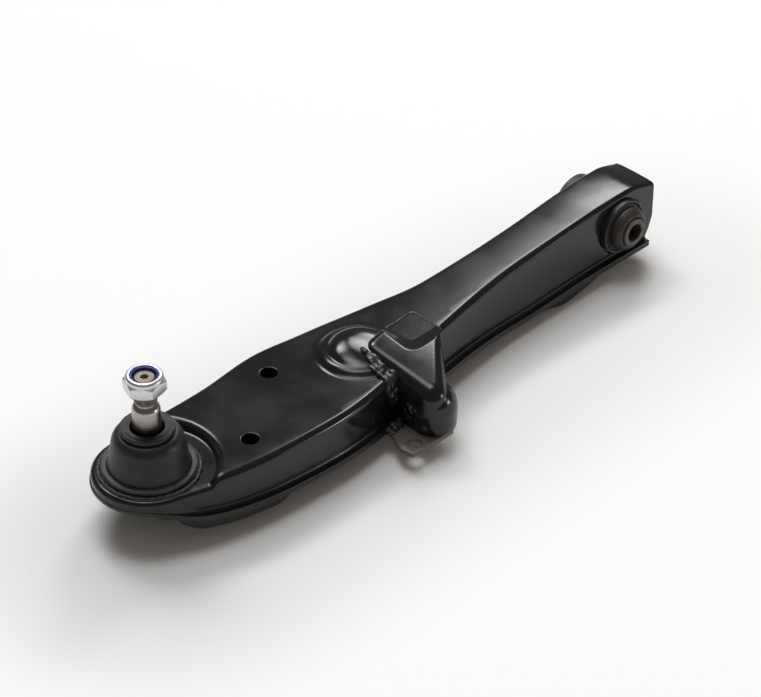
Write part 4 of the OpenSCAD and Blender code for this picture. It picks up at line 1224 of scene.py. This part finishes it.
def stud_skin():
    """Stud with its ball, taper, shoulder and thread, as rows of points round its axis."""
    pitch = bpy.context.scene.arm_detail.pitch / MM
    seg = 96
    a = full_turn(seg)
    rise = np.radians(np.linspace(-89, 55, 26))
    ball = [(0.01, BALL_Z - BALL_R)]
    ball += [(BALL_R * math.cos(t), BALL_Z + BALL_R * math.sin(t)) for t in rise]
    neck = [(7.5, 16.2), (8.8, 20), (9.15, 22)]
    taper = [(9.1 - 0.04 * (z - 22.6), z) for z in np.linspace(22.6, 44.2, 16)]
    shoulder = [(8.22, 44.6), (8.24, 45.4), (8.22, 46.2), (8.08, 47.0), (7.82, 47.8), (7.4, 48.5),
                (6.85, 49.1), (6.3, 49.5), (5.85, 49.8), (ROOT_R, 50.3)]
    rows = [about_stud(np.full(seg, r), a, z) for r, z in ball + neck + taper + shoulder]
    for z in np.arange(*THREAD_Z, pitch / 10):
        phase = (z / pitch - a / (2 * math.pi)) % 1
        tooth = np.clip(1.25 * (1 - np.abs(2 * phase - 1)) - 0.1, 0, 1)
        start = smooth_step((z - THREAD_Z[0]) / 2.4)
        fade = start * smooth_step(67.6 - z)
        rows.append(about_stud(ROOT_R + 0.35 * start + 0.8 * tooth * fade, a, z))
    end = ((6.05, 67.7), (5.7, 68.15), (5.4, 68.3), (4.0, 68.3))
    rows += [about_stud(np.full(seg, r), a, z) for r, z in end]
    hexagon = 2.0 / np.cos((a + math.pi / 6) % (math.pi / 3) - math.pi / 6)
    socket = ((1.12, 68.3), (1.0, 68.0), (1.0, 63.6), (0.5, 63.2), (0.01, 62.9))
    rows += [about_stud(hexagon * share, a, z) for share, z in socket]
    return np.concatenate(rows), quads(len(rows), seg, True)


def build_lock_nut():
    """Hexagon nut with turned bevels, a rolled collar and a bore."""
    low, high = NUT_Z
    corner = NUT_FLATS / 2 / math.cos(math.pi / 6)
    ring = polar((ARM_L, 0), corner, NUT_TURN + np.arange(6) * 60)
    nut = loft("lock_nut_body", [np.column_stack([ring, np.full(6, z)]) for z in (low, high)])
    blank = spun("blank", [(10.5, low - 0.01), (13.2, low + 1.45), (13.2, high - 1.6), (10.9, high + 0.01)],
                 (ARM_L, 0))
    carve(nut, blank, operation="INTERSECT")
    bevel_edges(nut, 0.28, 2, 24)
    carve(nut, rod("bore", (ARM_L, 0, 63), (0, 0, 1), 6.97, 20, 120))
    collar = [(8.8, 67.05), (10.95, 67.05), (11.0, 68.0), (10.95, 68.7), (10.7, 69.35), (10.25, 69.85),
              (9.65, 70.15), (9.05, 70.22), (8.55, 70.08), (8.3, 69.8), (8.3, 69.62), (8.8, 69.4)]
    carve(nut, turned("collar", collar, segments=160), operation="UNION")
    settle(nut.data, 30)
    return nut


class ARM_OT_stud(bpy.types.Operator):
    """Ball stud with its thread, and the lock nut with its nylon ring"""

    bl_idname = "arm.stud"
    bl_label = "Stud and nut"

    def execute(self, context):
        f = finishes()
        stud = make("taper_stud", *stud_skin(), 40)
        dress(stud, "stud", f["bare_steel"], "ball_stud")
        dress(build_lock_nut(), "stud", f["plated_steel"], "lock_nut")
        profile = [(6.96, 67.15), (8.75, 67.15), (8.75, 69.3), (8.3, 69.5), (7.5, 69.5), (6.96, 69.1)]
        ring = turned("locking_ring", soften(profile, 0.3), segments=120)
        dress(ring, "stud", f["nylon"], "nylon_insert")
        return {"FINISHED"}


class ARM_OT_carried(bpy.types.Operator):
    """Finishes of the solids that show as they are"""

    bl_idname = "arm.carried"
    bl_label = "Carried solids"

    looks = {
        "strut_doubler": "inner_paint", "ball_housing": "dark_steel", "ball_seat": "seat_plastic",
        "lower_seat": "seat_plastic", "preload_washer": "bare_steel", "housing_cap": "dark_steel",
        "boot_top_ring": "dark_steel",
    }

    def execute(self, context):
        f = finishes()
        for node, finish in self.looks.items():
            data = NODES[node].data
            data.materials.clear()
            data.materials.append(f[finish])
        return {"FINISHED"}


# Stage, in metres

EYE = (1.2142, 1.0536, 1.0773)
GAZE = (-0.5585, -0.5782, -0.5948)
LENS = 141.9
MIDDLE = Vector((0.19, 0, 0))
FLOOR_GAP = 0.0004
# The arm's middle line on the floor, how far its shadow shows, and the share of white past that
ARM_RUN = (-0.02, 0.385)
ARM_Y = 0.016
SHADOW_REACH = (0.044, 0.17)
WHITE_SHARE = 0.85
# Makes up for the dark edges of a soft box
BOX_GAIN = 2.88
WARM = (1, 0.88, 0.78)


class ARM_OT_stage(bpy.types.Operator):
    """Pale floor, soft boxes and the camera"""

    bl_idname = "arm.stage"
    bl_label = "Stage"

    def lamp(self, name, at, aim, size, power, tint=(1, 1, 1)):
        """A soft box, bright in its middle and dark at its edges."""
        data = bpy.data.lights.new(name, "AREA")
        data.shape = "RECTANGLE"
        data.size, data.size_y = size
        data.energy = power
        data.color = tint
        data.use_nodes = True
        tree = data.node_tree
        place = add_node(tree, "ShaderNodeNewGeometry", output="Parametric")
        u, v = (add_node(tree, "ShaderNodeSeparateXYZ", output=axis, Vector=place) for axis in "XY")
        fall = (16 * u * (1 - u) * v * (1 - v)).at_least(0) ** 1.5 * BOX_GAIN
        feed(tree, tree.nodes["Emission"].inputs["Strength"], fall)
        obj = link(bpy.data.objects.new(name, data))
        obj.location = at
        obj.rotation_mode = "QUATERNION"
        obj.rotation_quaternion = (Vector(aim) - Vector(at)).to_track_quat("-Z", "Y")

    def toward(self, heading, height, distance):
        """A lamp's place and aim, from its direction in degrees as seen from the arm."""
        a, e = math.radians(heading), math.radians(height)
        way = Vector((math.cos(a) * math.cos(e), math.sin(a) * math.cos(e), math.sin(e)))
        return MIDDLE + distance * way, MIDDLE

    def paper(self):
        """White floor: paper that keeps the shadow near the arm and is plain white further out."""
        f = Finish("floor_paper")
        f.set(Base_Color=(0.93, 0.93, 0.93, 1), Roughness=0.9, Specular_IOR_Level=0.1)
        x, y = f.part("X"), f.part("Y")
        along = x - x.at_least(ARM_RUN[0]).at_most(ARM_RUN[1])
        across = y - ARM_Y
        away = (along * along + across * across) ** 0.5
        seen = f.node("LightPath", output="Is Camera Ray")
        for ray in ("Is Glossy Ray", "Is Transmission Ray"):
            seen = seen + f.node("LightPath", output=ray)
        white = f.node("Emission", Color=(1, 1, 1, 1), Strength=1.0)
        f.cover(seen * f.span(away, *SHADOW_REACH, 0.0, WHITE_SHARE), white)
        return f.material

    def execute(self, context):
        scene = context.scene
        scene.view_settings.view_transform = "Standard"
        floor_z = CAD_BOX[0].z - FLOOR_GAP
        half = scene.arm_detail.floor / 2
        centre = (CAD_BOX[0] + CAD_BOX[1]) / 2
        floor = bpy.data.meshes.new("floor")
        floor.from_pydata([(centre.x + sx * half, centre.y + sy * half, floor_z)
                           for sx, sy in ((-1, -1), (1, -1), (1, 1), (-1, 1))], [], [(0, 1, 2, 3)])
        floor_obj = link(bpy.data.objects.new("floor", floor))
        floor.materials.append(self.paper())

        world = bpy.data.worlds.new("studio")
        scene.world = world
        world.use_nodes = True
        background = world.node_tree.nodes["Background"]
        background.inputs["Color"].default_value = (0.31, 0.29, 0.27, 1)
        background.inputs["Strength"].default_value = 0.5

        self.lamp("bush_box", (-0.61, -0.46, 0.665), (0, 0, 0), (0.36, 0.26), 1.25)
        self.lamp("side_box", (-0.42, -0.395, 0.788), (0.15, 0, 0), (0.46, 0.3), 1.9)
        self.lamp("warm_box", (-0.4, 0.96, 0.16), (0.3, 0, 0), (0.34, 0.26), 2.0, WARM)
        self.lamp("back_strip", *self.toward(-106, 53, 2.5), (1.5, 0.8), 18)
        self.lamp("top_box", *self.toward(-100, 80, 3.0), (2.2, 2.2), 32)

        camera = bpy.data.cameras.new("camera")
        camera.sensor_width = 36
        camera.lens = LENS
        camera.clip_end = 50
        eye = link(bpy.data.objects.new("camera", camera))
        eye.location = EYE
        eye.rotation_mode = "QUATERNION"
        eye.rotation_quaternion = Vector(GAZE).to_track_quat("-Z", "Y")
        scene.camera = eye
        return {"FINISHED"}


class ARM_PT_pieces(bpy.types.Panel):
    """Sidebar panel with the arm's pieces"""

    bl_idname = "ARM_PT_pieces"
    bl_label = "Control arm"
    bl_space_type = "VIEW_3D"
    bl_region_type = "UI"
    bl_category = "Arm"

    def draw(self, context):
        column = self.layout.column()
        for step in STEPS:
            column.operator(step.bl_idname)
        for group in (context.scene.arm_look, context.scene.arm_detail):
            for key in group.__annotations__:
                column.prop(group, key)


STEPS = (ARM_OT_stage, ARM_OT_shell, ARM_OT_plate, ARM_OT_bush, ARM_OT_bracket, ARM_OT_welds, ARM_OT_joint,
         ARM_OT_boot, ARM_OT_stud, ARM_OT_carried)
CLASSES = (ArmLook, ArmDetail, *STEPS, ARM_PT_pieces)


def register():
    for cls in CLASSES:
        bpy.utils.register_class(cls)
    bpy.types.Scene.arm_look = PointerProperty(type=ArmLook)
    bpy.types.Scene.arm_detail = PointerProperty(type=ArmDetail)


def unregister():
    del bpy.types.Scene.arm_detail
    del bpy.types.Scene.arm_look
    for cls in reversed(CLASSES):
        bpy.utils.unregister_class(cls)


def main():
    register()
    for step in STEPS:
        group, name = step.bl_idname.split(".")
        getattr(getattr(bpy.ops, group), name)()


if __name__ == "__main__":
    main()
